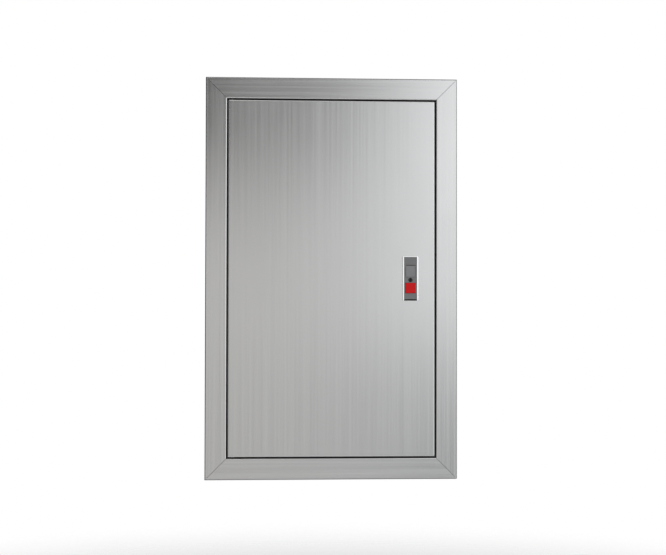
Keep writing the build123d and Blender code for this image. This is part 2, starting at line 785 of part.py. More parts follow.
def fascia_plate():
    """Folded steel tray that carries the display, lamps and buttons."""
    y = (fascia_face, fascia_face + 14)
    tray = block((-fascia_w, fascia_w), y, (fascia_low, fascia_high))
    tray = fillet(tray.edges().group_by(Axis.Y)[0] + tray.edges().filter_by(Axis.Y), fascia_bend)
    t = fascia_sheet
    room_z = (fascia_low + t, fascia_high - t)
    tray = tray - block((t - fascia_w, fascia_w - t), (fascia_face + t, y[1] + 1), room_z)
    through = (fascia_face - 1, fascia_face + t + 1)
    half_x, half_z = lcd_window[0] / 2, lcd_window[1] / 2
    cuts = [block((lcd_x - half_x, lcd_x + half_x), through, (lcd_z - half_z, lcd_z + half_z))]
    lamps = [(x, z, lamp_radius) for z in zone_z for x in (zone_red_x, zone_amber_x)]
    lamps += [(x, status_z, lamp_radius) for x in (power_x, *status_amber_x)]
    lamps.append((alarm_x, alarm_z, alarm_radius))
    cuts += [rod_y(radius + 0.15, x, z, through) for x, z, radius in lamps]
    play = 0.3
    for x in key_button_x:
        hole = block((x - key_button[0] / 2 - play, x + key_button[0] / 2 + play), through,
                     (key_button_z - key_button[1] / 2 - play, key_button_z + key_button[1] / 2 + play))
        cuts.append(fillet(hole.edges().filter_by(Axis.Y), 1.8))
    cuts += [rod_y(1.1, x, z, through) for x, z in grille_places()]
    cuts.append(rod_y(switch_radius + 0.1, switch_x, switch_z, through))
    cuts += [rod_y(2.2, x, z, through) for x, z in fascia_screw_places()]
    all_x, all_z = (-fascia_w, fascia_w), (fascia_low, fascia_high)
    past_bend = fascia_face + fascia_bend
    face = block(all_x, (fascia_face, past_bend), all_z)
    return sheets(tray - cuts, [face, *ring(all_x, (past_bend, y[1]), all_z, fascia_bend)])


def fascia_pillars():
    """Long hexagonal spacers from the mounting plate to the fascia."""
    solids = []
    for x, z in fascia_screw_places():
        pillar = hex_y(8.0, x, z, (fascia_face + fascia_sheet, plate_face))
        solids.append(pillar - rod_y(2 + slack, x, z, (fascia_face, fascia_face + 10)))
    return group(solids)


def display_bezel():
    half_x, half_z = lcd_bezel[0] / 2, lcd_bezel[1] / 2
    y = (fascia_face - 3, fascia_face)
    ring = block((lcd_x - half_x, lcd_x + half_x), y, (lcd_z - half_z, lcd_z + half_z))
    ring = fillet(ring.edges().filter_by(Axis.Y), 4.0)
    ring = chamfer(ring.edges().group_by(Axis.Y)[0], 1.2)
    half_x, half_z = lcd_window[0] / 2, lcd_window[1] / 2
    window_z = (lcd_z - half_z, lcd_z + half_z)
    return ring - block((lcd_x - half_x, lcd_x + half_x), (y[0] - 1, y[1] + 1), window_z)


def display_panel():
    """Display module: the glass in its metal frame, standing on the fascia's board."""
    half_x, half_z = lcd_window[0] / 2 + 8, lcd_window[1] / 2 + 8
    y = (fascia_face + fascia_sheet + 0.2, fascia_board_face)
    body = block((lcd_x - half_x, lcd_x + half_x), y, (lcd_z - half_z, lcd_z + half_z))
    glass_x, glass_z = lcd_window[0] / 2 - 0.5, lcd_window[1] / 2 - 0.5
    glass = block((lcd_x - glass_x, lcd_x + glass_x), (fascia_face - 0.8, y[0] + 0.5),
                  (lcd_z - glass_z, lcd_z + glass_z))
    return body + glass


def display_board():
    """Board behind the fascia, with the switch under each button and the sounder."""
    board = block(fascia_board_x, (fascia_board_face, fascia_board_face + board_sheet), fascia_board_z)
    solids = [board]
    for x in key_button_x:
        solids.append(block((x - 3, x + 3), (fascia_board_face - 1.4, fascia_board_face),
                            (key_button_z - 3, key_button_z + 3)))
    back = fascia_board_face + board_sheet
    header = block(ribbon_x, (back, back + 5), (92.0, 100.0))
    sounder = rod_y(11.0, buzzer_x, buzzer_z, (fascia_board_face - 8, fascia_board_face))
    sounder = sounder - rod_y(1.5, buzzer_x, buzzer_z, (fascia_board_face - 9, fascia_board_face - 4))
    return group([*solids, header, sounder])


def lamp(x, z, radius):
    """Round lamp standing on the fascia's board, with its dome proud of the fascia."""
    base = fascia_face - 0.8
    return rod_y(radius, x, z, (base, fascia_board_face)) + Pos(x, base, z) * Sphere(radius)


def lamps_red():
    zones = [lamp(zone_red_x, z, lamp_radius) for z in zone_z]
    return group([*zones, lamp(alarm_x, alarm_z, alarm_radius)])


def lamps_amber():
    zones = [lamp(zone_amber_x, z, lamp_radius) for z in zone_z]
    return group([*zones, *[lamp(x, status_z, lamp_radius) for x in status_amber_x]])


def lamp_power():
    return lamp(power_x, status_z, lamp_radius)


def key_cap(x):
    """Push-button cap with a crowned face, a captive flange and a stem to its switch."""
    half_x, half_z = key_button[0] / 2, key_button[1] / 2
    cap = block((x - half_x, x + half_x), (fascia_face - 4, fascia_face + 4),
                (key_button_z - half_z, key_button_z + half_z))
    cap = fillet(cap.edges().filter_by(Axis.Y), 1.6)
    cap = fillet(cap.edges().group_by(Axis.Y)[0], 1.0)
    flange_x, flange_z = half_x + 1.2, half_z + 1.2
    flange_y = (fascia_face + fascia_sheet + 0.1, fascia_face + 4)
    flange = block((x - flange_x, x + flange_x), flange_y,
                   (key_button_z - flange_z, key_button_z + flange_z))
    stem = rod_y(2.5, x, key_button_z, (fascia_face + 4, fascia_board_face - 1.4 - key_button_travel - 0.1))
    return cap + flange + stem


def key_switch_barrel():
    """Fixed barrel of the access key switch, with its nut behind the fascia."""
    flange = rod_y(switch_radius + 2.5, switch_x, switch_z, (fascia_face - 3, fascia_face))
    flange = chamfer(flange.edges().group_by(Axis.Y)[0], 1.0)
    body = rod_y(switch_radius, switch_x, switch_z, (fascia_face, fascia_board_face - 1))
    nut = hex_y(22.0, switch_x, switch_z, (fascia_face + fascia_sheet, fascia_face + 4.5))
    bore = rod_y(5.5 + slack, switch_x, switch_z, (fascia_face - 4, fascia_board_face - 3))
    return flange + body + nut - bore


def key_switch_key():
    """Turning core of the key switch with its key in place."""
    core = rod_y(5.5, switch_x, switch_z, (fascia_face - 3.2, fascia_board_face - 3.2))
    neck = block((switch_x - 1.1, switch_x + 1.1), (fascia_face - 10, fascia_face - 3),
                 (switch_z - 4, switch_z + 4))
    bow = block((switch_x - 1.1, switch_x + 1.1), (fascia_face - 23, fascia_face - 9),
                (switch_z - 10, switch_z + 10))
    bow = fillet(bow.edges().filter_by(Axis.X), 5.0)
    bow = bow - rod_x(2.6, fascia_face - 18.5, switch_z, (switch_x - 3, switch_x + 3))
    return core + neck + bow


# ---- door

stiffener_x = (-150.0, 108.0)
stiffener_half = 300.0


def door_skin():
    """Door pan: face, four returned edges and a fold in at the back."""
    pan = block((-door_w, door_w), (front, door_back), (-door_h, door_h))
    pan = fillet(pan.edges(), bend_inside + sheet)
    inner_w, inner_h = door_w - sheet, door_h - sheet
    pan = pan - block((-inner_w, inner_w), (front + sheet, door_back - sheet), (-inner_h, inner_h))
    clear_w, clear_h = door_w - 12, door_h - 12
    pan = pan - block((-clear_w, clear_w), (door_back - 2 * sheet, door_back + 1), (-clear_h, clear_h))
    half_x, half_z = lock_body_w / 2 + 0.3, lock_body_h / 2 + 0.3
    pan = pan - block((lock_x - half_x, lock_x + half_x), (front - 1, front + 4), (-half_z, half_z))
    for sz in (-1, 1):
        z = sorted((sz * (door_h - 4), sz * (door_h + 1)))
        pan = pan - rod_z(bush_radius + slack, pivot_x, pivot_y, z)
    bend = bend_inside + sheet
    all_x, all_z = (-door_w, door_w), (-door_h, door_h)
    # The face parts at the sides of the lock hole, then above and below it.
    face_y, beside = (front, front + bend), (lock_x - half_x, lock_x + half_x)
    panels = [block((-door_w, beside[0]), face_y, all_z), block((beside[1], door_w), face_y, all_z)]
    panels += [block(beside, face_y, (-door_h, -half_z)), block(beside, face_y, (half_z, door_h))]
    panels += ring(all_x, (front + bend, door_back - bend), all_z, bend)
    panels += ring(all_x, (door_back - bend, door_back), all_z, door_w - clear_w)
    return sheets(pan, panels)


def door_stiffeners():
    """Two hat channels welded upright inside the door, slotted along the web."""
    thickness, depth, half_web, flange = 1.2, 14.0, 12.0, 8.0
    slot_pitch, slots_each_way = 25.0, 11
    back = front + sheet
    span = (-stiffener_half, stiffener_half)
    solids = []
    for x in stiffener_x:
        hat = block((x - half_web, x + half_web), (back, back + depth), span)
        hat = hat + block((x - half_web - flange, x + half_web + flange), (back, back + thickness), span)
        hat = hat - block((x - half_web + thickness, x + half_web - thickness),
                          (back - 1, back + depth - thickness), (span[0] - 1, span[1] + 1))
        slot = Rot(90, 0, 0) * extrude(SlotOverall(12, 6, rotation=90), 3, both=True)
        steps = range(-slots_each_way, slots_each_way + 1)
        hat = hat - [Pos(x, back + depth, i * slot_pitch) * slot for i in steps]
        web_face = back + depth - thickness
        panels = [block((x - half_web, x + half_web), (web_face, back + depth), span)]
        for sx in (-1, 1):
            side = sorted((x + sx * half_web, x + sx * (half_web - thickness)))
            foot = sorted((x + sx * (half_web + flange), x + sx * (half_web - thickness)))
            panels.append(block(side, (back + thickness, web_face), span))
            panels.append(block(foot, (back, back + thickness), span))
        solids += [hat & panel for panel in panels]
    return group(solids)


def pivot_brackets():
    """Blocks welded inside the hinge-side corners, which hold the bushes."""
    solids = []
    for sz in (-1, 1):
        z = sorted((sz * (door_h - sheet - 4), sz * (door_h - sheet)))
        plate = block((-door_w + sheet, -door_w + 24), (front + sheet, door_back - 3), z)
        solids.append(plate - rod_z(bush_radius + slack, pivot_x, pivot_y, (z[0] - 1, z[1] + 1)))
    return group(solids)


def pivot_bushes():
    """Flanged nylon bushes in the door, running on the pins."""
    solids = []
    for sz in (-1, 1):
        barrel = sorted((sz * (door_h - 7.5), sz * door_h))
        flange = sorted((sz * door_h, sz * (door_h + 1.2)))
        bush = rod_z(bush_radius, pivot_x, pivot_y, barrel) + rod_z(5.8, pivot_x, pivot_y, flange)
        solids.append(bush - rod_z(pin_radius + slack, pivot_x, pivot_y, (barrel[0] - 9, barrel[1] + 9)))
    return group(solids)


def document_pocket():
    """Moulded pocket on the inside of the door, open at the top."""
    x = (-122.0, 82.0)
    z = (-292.0, -140.0)
    y = (front + sheet, front + sheet + 18)
    wall = 1.8
    pocket = block(x, y, z)
    pocket = fillet(pocket.edges().filter_by(Axis.X).group_by(Axis.Y)[-1].sort_by(Axis.Z)[0], 4.0)
    inside = block((x[0] + wall, x[1] - wall), (y[0] + wall, y[1] - wall), (z[0] + wall, z[1] + 1))
    middle = (x[0] + x[1]) / 2
    notch = Pos(middle, y[1], z[1]) * Rot(90, 0, 0) * extrude(Ellipse(40, 16), 6, both=True)
    return pocket - inside - notch


# ---- lock

def round_pocket(x, y, z, room_x, floor):
    """Panels round a pocket open to the front: its two sides, and what is behind its floor."""
    return [block((x[0], room_x[0]), y, z), block((room_x[1], x[1]), y, z), block(room_x, (floor, y[1]), z)]


def lock_housing():
    """Plated lock housing: a rimmed face plate and the body behind the door face."""
    half_x, half_z = lock_width / 2, lock_height / 2
    plate = block((lock_x - half_x, lock_x + half_x), (lock_face, front), (-half_z, half_z))
    plate = fillet(plate.edges().filter_by(Axis.Y), 2.0)
    plate = chamfer(plate.edges().group_by(Axis.Y)[0], 0.4)
    inner_x = (lock_x + lock_rim - half_x, lock_x - lock_rim + half_x)
    foot_z = lock_foot_rim - half_z
    before = lock_face - 1
    plate = plate - block(inner_x, (before, lock_floor), (foot_z, half_z - lock_head_rim))
    body = block((lock_x - lock_body_w / 2, lock_x + lock_body_w / 2), (front, lock_body_back),
                 (-lock_body_h / 2, lock_body_h / 2))
    housing = plate + body
    # Narrow slot along the foot of the face, and the pockets of flap and button.
    slot = block(inner_x, (before, lock_floor + 2.0), (foot_z, foot_z + lock_foot_slot))
    flap_half, flap_floor = flap_width / 2 + 0.4, lock_floor + 12
    flap_x = (lock_x - flap_half, lock_x + flap_half)
    flap_z = (flap_bottom - 0.5, flap_pin_z + 2.6)
    flap_room = block(flap_x, (before, flap_floor), flap_z)
    button_half = button_size / 2 + 0.3
    button_x = (lock_x - button_half, lock_x + button_half)
    room_z = (button_z - button_half, button_z + button_half)
    button_room = block(button_x, (before, button_pocket_floor), room_z)
    housing = housing - slot - flap_room - button_room
    housing = housing - rod_y(plug_radius + slack, lock_x, plug_z, (before, lock_body_back + 1))
    pin_hole = rod_x(flap_pin_radius + slack, flap_pin_y, flap_pin_z, (lock_x - 12, lock_x + 12))
    # From the foot up: foot, round the button, round the key plug, round the flap, head.
    all_x, y = (lock_x - half_x, lock_x + half_x), (lock_face, lock_body_back)
    panels = [block(all_x, y, (-half_z, room_z[0]))]
    panels += round_pocket(all_x, y, room_z, button_x, button_pocket_floor)
    panels.append(block(all_x, y, (room_z[1], flap_z[0])))
    panels += round_pocket(all_x, y, flap_z, flap_x, flap_floor)
    panels.append(block(all_x, y, (flap_z[1], half_z)))
    return sheets(housing - pin_hole, panels)


def lock_clamps():
    """Clamp feet above and below the lock body, each with its screw."""
    solids = []
    for sz in (-1, 1):
        edge = lock_body_h / 2 + 0.2
        z = sorted((sz * edge, sz * (edge + 9)))
        y = (front + sheet, front + sheet + 9)
        foot = block((lock_x - 10, lock_x + 10), y, z)
        foot = fillet(foot.edges().filter_by(Axis.Y), 1.5)
        screw_z = sz * (edge + 4.5)
        screw = Pos(0, 2 * y[1], 0) * mirror(pan_screw(1.5, lock_x, screw_z, y[1], 8.0), Plane.XZ)
        foot = foot - rod_y(1.5 + slack, lock_x, screw_z, (y[1] - 8.2, y[1] + 1))
        solids += [foot, screw]
    return group(solids)


def lock_flap():
    """Finger flap, hinged on a cross pin at its top edge."""
    half = flap_width / 2
    knuckle = 2.0
    leaf_y = (lock_floor - 0.9, lock_floor + 1.5)
    leaf = block((lock_x - half, lock_x + half), leaf_y, (flap_bottom, flap_pin_z))
    leaf = fillet(leaf.edges().filter_by(Axis.Y).group_by(Axis.Z)[0], 1.2)
    hook = block((lock_x - half + 2, lock_x + half - 2), (lock_floor + 1.4, lock_floor + 3.2),
                 (flap_bottom + 0.5, flap_bottom + 2.5))
    barrel = rod_x(knuckle, flap_pin_y, flap_pin_z, (lock_x - half, lock_x + half))
    bore = rod_x(flap_pin_radius + slack, flap_pin_y, flap_pin_z, (lock_x - half - 1, lock_x + half + 1))
    return leaf + hook + barrel - bore


def lock_flap_pin():
    return rod_x(flap_pin_radius, flap_pin_y, flap_pin_z, (lock_x - 11.8, lock_x + 11.8))


def lock_button():
    """Square push-button with a crowned face, and the stem that its spring sits on."""
    half = button_size / 2
    y = (lock_face - 1.0, button_back)
    cap = block((lock_x - half, lock_x + half), y, (button_z - half, button_z + half))
    cap = fillet(cap.edges().filter_by(Axis.Y), 2.0)
    cap = fillet(cap.edges().group_by(Axis.Y)[0], 0.8)
    return cap + rod_y(2.5, lock_x, button_z, (y[1], button_stem_end))


spring_wire = 0.35
spring_radius = 4.2


def lock_button_spring():
    """Coil spring between the button and the floor of its pocket."""
    start, end = button_back + 0.5, button_pocket_floor - 0.45
    helix = Pos(lock_x, start, button_z) * Rot(-90, 0, 0) * Helix(1.6, end - start, spring_radius)
    section = Plane(origin=helix @ 0, z_dir=helix % 0) * Circle(spring_wire)
    return sweep(section, path=helix)


cam_y = (-132.4, -130.4)
cam_reach = 38.0


def lock_plug():
    """Key plug: a slotted face, the barrel in its bore and the spindle that holds the cam."""
    barrel = rod_y(plug_radius, lock_x, plug_z, (lock_floor - 0.6, lock_body_back + 0.2))
    barrel = chamfer(barrel.edges().group_by(Axis.Y)[0], 0.5)
    collar = rod_y(5.5, lock_x, plug_z, (lock_body_back + 0.2, cam_y[0]))
    spindle = rod_y(3.0, lock_x, plug_z, (cam_y[0], -126.5))
    keyway_y = (lock_floor - 2, lock_floor + 5)
    keyway = block((lock_x - 0.6, lock_x + 0.6), keyway_y, (plug_z - 2.7, plug_z + 2.7))
    return barrel + collar + spindle - keyway


def lock_cam():
    """Flat cam that hangs straight down when unlocked, with its nut."""
    half = 7.0
    arm = block((lock_x - half, lock_x + half), cam_y, (plug_z - cam_reach, plug_z + half))
    arm = fillet(arm.edges().filter_by(Axis.Y), 5.0)
    arm = arm - rod_y(3 + slack, lock_x, plug_z, (cam_y[0] - 1, cam_y[1] + 1))
    nut = hex_y(9.0, lock_x, plug_z, (cam_y[1], cam_y[1] + 3))
    nut = nut - rod_y(3 + slack, lock_x, plug_z, (cam_y[1] - 1, cam_y[1] + 4))
    return group([arm, nut])


parts = {
    "back_box": back_box(),
    "frame_top_rail": top_rail(),
    "frame_bottom_rail": bottom_rail(),
    "frame_hinge_rail": hinge_rail(),
    "frame_lock_rail": lock_rail(),
    "frame_corner_plates": corner_plates(),
    "pan_head_screws": pan_screws(),
    "foam_seal": foam_seal(),
    "pivot_pins": pivot_pins(),
    "entry_grommets": entry_grommets(),
    "mounting_plate": mounting_plate(),
    "studs_and_nuts": group(plate_fixings() + bar_nuts()),
    "earth_stud": earth_stud(),
    "loop_board": loop_board(),
    "board_pillars": board_pillars(),
    "loop_terminals": loop_terminals(),
    "board_relays": board_relays(),
    "board_capacitors": board_capacitors(),
    "power_supply_tray": power_supply_tray(),
    "power_supply_cover": power_supply_cover(),
    "power_supply_board": power_supply_board(),
    "screw_terminals": screw_terminals(),
    "cable_duct": cable_duct(),
    "duct_cover": duct_cover(),
    "battery_shelf": battery_shelf(),
    "battery_left": battery_left(),
    "battery_right": battery_right(),
    "battery_tabs": battery_tabs(),
    "battery_bar": battery_bar(),
    "battery_lead_positive": battery_lead_positive(),
    "battery_lead_negative": battery_lead_negative(),
    "battery_link_lead": battery_link_lead(),
    "ribbon_cable": ribbon_cable(),
    "fascia_plate": fascia_plate(),
    "fascia_pillars": fascia_pillars(),
    "display_bezel": display_bezel(),
    "display_panel": display_panel(),
    "display_board": display_board(),
    "lamps_red": lamps_red(),
    "lamps_amber": lamps_amber(),
    "lamp_power": lamp_power(),
    "key_switch_barrel": key_switch_barrel(),
    "key_switch_key": key_switch_key(),
    "door_skin": door_skin(),
    "door_stiffeners": door_stiffeners(),
    "door_pivot_brackets": pivot_brackets(),
    "pivot_bushes": pivot_bushes(),
    "document_pocket": document_pocket(),
    "lock_housing": lock_housing(),
    "lock_clamps": lock_clamps(),
    "lock_flap": lock_flap(),
    "lock_flap_pin": lock_flap_pin(),
    "lock_button": lock_button(),
    "lock_button_spring": lock_button_spring(),
    "lock_plug": lock_plug(),
    "lock_cam": lock_cam(),
}
for name, x in zip(button_names, key_button_x):
    parts["button_" + name] = key_cap(x)

os.makedirs("parts", exist_ok=True)
for name, shape in parts.items():
    export_step(shape, f"parts/{name}.step")
print(len(parts), "nodes")
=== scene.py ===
import math
import random

import bmesh
import bpy
from mathutils import Matrix, Vector


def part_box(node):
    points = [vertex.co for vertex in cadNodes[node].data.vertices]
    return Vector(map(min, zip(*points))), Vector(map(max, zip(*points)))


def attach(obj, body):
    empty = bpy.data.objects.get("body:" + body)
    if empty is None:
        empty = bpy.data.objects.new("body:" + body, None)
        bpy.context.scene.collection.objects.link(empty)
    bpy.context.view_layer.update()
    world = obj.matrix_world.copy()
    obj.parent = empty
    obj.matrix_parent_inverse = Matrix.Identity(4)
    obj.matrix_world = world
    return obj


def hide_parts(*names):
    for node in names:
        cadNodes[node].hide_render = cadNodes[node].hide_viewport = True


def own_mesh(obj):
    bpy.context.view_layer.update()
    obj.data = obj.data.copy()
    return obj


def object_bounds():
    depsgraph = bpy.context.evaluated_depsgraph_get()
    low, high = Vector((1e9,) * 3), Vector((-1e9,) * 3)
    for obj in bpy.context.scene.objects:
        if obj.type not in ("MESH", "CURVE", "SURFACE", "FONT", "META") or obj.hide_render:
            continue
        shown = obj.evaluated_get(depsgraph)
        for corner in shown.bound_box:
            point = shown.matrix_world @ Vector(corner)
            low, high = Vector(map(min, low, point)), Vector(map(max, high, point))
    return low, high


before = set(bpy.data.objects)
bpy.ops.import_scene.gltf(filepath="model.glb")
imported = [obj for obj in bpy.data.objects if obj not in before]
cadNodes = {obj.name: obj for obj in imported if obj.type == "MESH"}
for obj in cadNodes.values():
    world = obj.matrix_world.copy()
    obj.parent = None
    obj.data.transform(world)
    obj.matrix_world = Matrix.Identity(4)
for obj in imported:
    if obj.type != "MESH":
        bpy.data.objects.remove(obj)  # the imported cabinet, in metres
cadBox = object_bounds()
mm = 0.001
random.seed(7)
print("cabinet loaded,", len(cadNodes), "parts")


# helpers for node trees

def addNode(tree, kind, values=None, **settings):
    node = tree.nodes.new(kind)
    for name, value in settings.items():
        setattr(node, name, value)
    for name, value in (values or {}).items():
        feed(tree, value, node.inputs[name])
    return node


def feed(tree, value, socket):
    # a socket is linked, anything else is set as the socket's own value
    if isinstance(value, bpy.types.NodeSocket):
        tree.links.new(value, socket)
    elif isinstance(value, tuple) and len(value) == 3 and socket.type == "RGBA":
        socket.default_value = (*value, 1)
    else:
        socket.default_value = value


def calc(tree, operation, *terms, clamp=False):
    node = tree.nodes.new("ShaderNodeMath")
    node.operation, node.use_clamp = operation, clamp
    for i, term in enumerate(terms):
        feed(tree, term, node.inputs[i])
    return node.outputs[0]


def smoothStep(tree, value, low, high, toLow=0.0, toHigh=1.0):
    node = addNode(tree, "ShaderNodeMapRange", interpolation_type="SMOOTHSTEP")
    for i, term in enumerate((value, low, high, toLow, toHigh)):
        feed(tree, term, node.inputs[i])
    return node.outputs[0]


def mixColour(tree, factor, first, second, blend="MIX"):
    node = addNode(tree, "ShaderNodeMix", data_type="RGBA", blend_type=blend)
    feed(tree, factor, node.inputs[0])
    feed(tree, first, node.inputs[6])
    feed(tree, second, node.inputs[7])
    return node.outputs[2]


def noise(tree, vector, scale, detail=2.0, rough=0.5):
    node = addNode(tree, "ShaderNodeTexNoise", {"Vector": vector, "Scale": scale, "Detail": detail,
                                                "Roughness": rough})
    return node.outputs["Fac"]


def stretched(tree, vector, scale):
    node = addNode(tree, "ShaderNodeMapping", {"Vector": vector, "Scale": scale})
    return node.outputs[0]


def newGroup(name, inputs, outputs):
    tree = bpy.data.node_groups.new(name, "ShaderNodeTree")
    for label, kind, value in inputs:
        socket = tree.interface.new_socket(name=label, in_out="INPUT",
                                           socket_type="NodeSocket" + kind)
        if value is not None:
            socket.default_value = value
    for label, kind in outputs:
        tree.interface.new_socket(name=label, in_out="OUTPUT", socket_type="NodeSocket" + kind)
    return tree, tree.nodes.new("NodeGroupInput").outputs, tree.nodes.new("NodeGroupOutput").inputs


def useGroup(tree, group, values):
    node = addNode(tree, "ShaderNodeGroup", node_tree=group)
    for name, value in values.items():
        feed(tree, value, node.inputs[name])
    return node.outputs


# effects that several finishes share

def makeBrushing():
    # fine straight scratches: Place is stretched along the grain before it comes in
    tree, given, out = newGroup("brushing", [("Place", "Vector", None),
                                             ("Fineness", "Float", 900.0)],
                                [("Streak", "Float"), ("Height", "Float")])
    fine = noise(tree, given["Place"], given["Fineness"], 3.0, 0.6)
    broad = noise(tree, given["Place"], calc(tree, "MULTIPLY", given["Fineness"], 0.16), 2.0, 0.5)
    tree.links.new(calc(tree, "ADD", calc(tree, "MULTIPLY", fine, 0.4),
                        calc(tree, "MULTIPLY", broad, 0.6)),
                   out["Streak"])
    tree.links.new(fine, out["Height"])
    return tree


def makeEdgeWear():
    # worn metal or plastic shows where the true normal and a rounded one part
    tree, given, out = newGroup("edgeWear", [("Reach", "Float", 0.001), ("Amount", "Float", 1.0),
                                             ("Breakup", "Float", 180.0)], [("Mask", "Float")])
    rounded = addNode(tree, "ShaderNodeBevel", {"Radius": given["Reach"]}, samples=4).outputs[0]
    plain = addNode(tree, "ShaderNodeNewGeometry").outputs["Normal"]
    dot = addNode(tree, "ShaderNodeVectorMath", operation="DOT_PRODUCT")
    feed(tree, rounded, dot.inputs[0])
    feed(tree, plain, dot.inputs[1])
    edge = smoothStep(tree, dot.outputs["Value"], 0.995, 0.9)
    place = addNode(tree, "ShaderNodeTexCoord").outputs["Object"]
    patchy = smoothStep(tree, noise(tree, place, given["Breakup"], 3.0, 0.6), 0.35, 0.65)
    tree.links.new(calc(tree, "MULTIPLY", calc(tree, "MULTIPLY", edge, patchy), given["Amount"]),
                   out["Mask"])
    return tree


def makeHandling():
    # soft smears and faint dust that hands and air leave
    tree, given, out = newGroup("handling", [("Scale", "Float", 6.0)],
                                [("Smear", "Float"), ("Dust", "Float")])
    place = addNode(tree, "ShaderNodeTexCoord").outputs["Object"]
    smear = smoothStep(tree, noise(tree, place, given["Scale"], 4.0, 0.55), 0.35, 0.75)
    tree.links.new(smear, out["Smear"])
    specks = noise(tree, place, calc(tree, "MULTIPLY", given["Scale"], 90.0), 2.0, 0.7)
    tree.links.new(smoothStep(tree, specks, 0.62, 0.8), out["Dust"])
    return tree


def makeMoulding():
    # the fine spark-eroded grain of moulded plastic or the peel of powder coat
    tree, given, out = newGroup("moulding", [("Scale", "Float", 2500.0)],
                                [("Height", "Float"), ("Tone", "Float")])
    place = addNode(tree, "ShaderNodeTexCoord").outputs["Object"]
    tree.links.new(noise(tree, place, given["Scale"], 2.0, 0.6), out["Height"])
    tree.links.new(noise(tree, place, calc(tree, "MULTIPLY", given["Scale"], 0.012), 3.0, 0.5),
                   out["Tone"])
    return tree


brushing = makeBrushing()
edgeWear = makeEdgeWear()
handling = makeHandling()
moulding = makeMoulding()
print("shared effects built")


# one function for each kind of finish

def startFinish(name, **plainValues):
    material = bpy.data.materials.new(name)
    material.use_nodes = True
    tree = material.node_tree
    shader = tree.nodes["Principled BSDF"]
    for socket, value in plainValues.items():
        feed(tree, value, shader.inputs[socket.replace("_", " ")])
    place = addNode(tree, "ShaderNodeTexCoord").outputs["Object"]
    return material, tree, shader, place


def bumpBy(tree, shader, height, distance, strength=1.0):
    bump = addNode(tree, "ShaderNodeBump", {"Height": height, "Distance": distance,
                                            "Strength": strength})
    tree.links.new(bump.outputs[0], shader.inputs["Normal"])


# the dull tone used behind the bend is kept dark as painted shade
trimSteel = {"tone": (0.70, 0.70, 0.70), "streak": 0.20, "roughness": 0.19, "fineness": 1.0,
             "millAndPaintedShadeTone": 0.34, "millRoughness": 0.5}


def mitreSeamsAndPaintedEdgeShade(tree, place):
    # how near a point is to one of the four mitre lines (dark joints), and to the outer edge of the trim, where
    # painted shade goes
    high = cadBox[1]
    axes = addNode(tree, "ShaderNodeSeparateXYZ", {"Vector": place}).outputs
    fromSide = calc(tree, "SUBTRACT", high.x, calc(tree, "ABSOLUTE", axes["X"]))
    fromEnd = calc(tree, "SUBTRACT", high.z, calc(tree, "ABSOLUTE", axes["Z"]))
    apart = calc(tree, "ABSOLUTE", calc(tree, "SUBTRACT", fromSide, fromEnd))
    seam = smoothStep(tree, apart, 1.4 * mm, 0.7 * mm)
    edge = smoothStep(tree, calc(tree, "MINIMUM", fromSide, fromEnd), 1.9 * mm, 1.4 * mm)
    return seam, edge


def brushedSteel(name, along, tone=trimSteel["tone"], roughness=trimSteel["roughness"], millAndShadeDepth=None,
                 seamsAndPaintedEdgeShade=False,
                 streak=trimSteel["streak"], wear=0.4):
    # satin grain along one axis; behind a given depth in Y the sheet has a dull mill finish, and its colour is
    # darkened as painted shade for the gaps and the door's inside
    material, tree, shader, place = startFinish(name, Metallic=1.0)
    squeeze = {"X": (9, 1400, 1400), "Y": (1400, 9, 1400), "Z": (1400, 1400, 9)}[along]
    grain = useGroup(tree, brushing, {"Place": stretched(tree, place, squeeze),
                                      "Fineness": trimSteel["fineness"]})
    hands = useGroup(tree, handling, {"Scale": 5.0})
    worn = useGroup(tree, edgeWear, {"Reach": 0.0008, "Amount": wear, "Breakup": 220.0})
    dark = tuple(c * (1 - streak) for c in tone)
    light = tuple(min(1.0, c * (1 + streak)) for c in tone)
    colour = mixColour(tree, grain["Streak"], dark, light)
    colour = mixColour(tree, worn["Mask"], colour, (0.82, 0.82, 0.83))
    rough = calc(tree, "ADD", calc(tree, "MULTIPLY", calc(tree, "SUBTRACT", grain["Streak"], 0.5),
                                   0.16), roughness)
    rough = calc(tree, "ADD", rough, calc(tree, "MULTIPLY", hands["Smear"], 0.03))
    if seamsAndPaintedEdgeShade:
        seam, edge = mitreSeamsAndPaintedEdgeShade(tree, place)
        colour = mixColour(tree, calc(tree, "MULTIPLY", seam, 0.35), colour, (0.2, 0.2, 0.2))
        # painted shade: a dark line along the trim's outer edge stands in for the shade of the bend there
        colour = mixColour(tree, calc(tree, "MULTIPLY", edge, 0.85), colour, (0.10, 0.10, 0.105))
    if millAndShadeDepth is not None:
        # painted shade: behind the given depth the colour goes dark to stand in for the shade in the gaps and
        # inside the door; the raised roughness is the real mill finish
        depth = addNode(tree, "ShaderNodeSeparateXYZ", {"Vector": place}).outputs["Y"]
        behind = smoothStep(tree, depth, millAndShadeDepth, millAndShadeDepth + 0.3 * mm)
        cloud = noise(tree, place, 14.0, 3.0)
        shadedMillTone = trimSteel["millAndPaintedShadeTone"]
        millAndPaintedShade = mixColour(tree, cloud, (shadedMillTone * 0.8,) * 3, (shadedMillTone, shadedMillTone, shadedMillTone * 1.05))
        colour = mixColour(tree, behind, colour, millAndPaintedShade)
        rough = smoothStep(tree, behind, 0.0, 1.0, rough, trimSteel["millRoughness"])
    feed(tree, colour, shader.inputs["Base Color"])
    feed(tree, rough, shader.inputs["Roughness"])
    bumpBy(tree, shader, grain["Height"], 0.00002, 0.25)
    return material


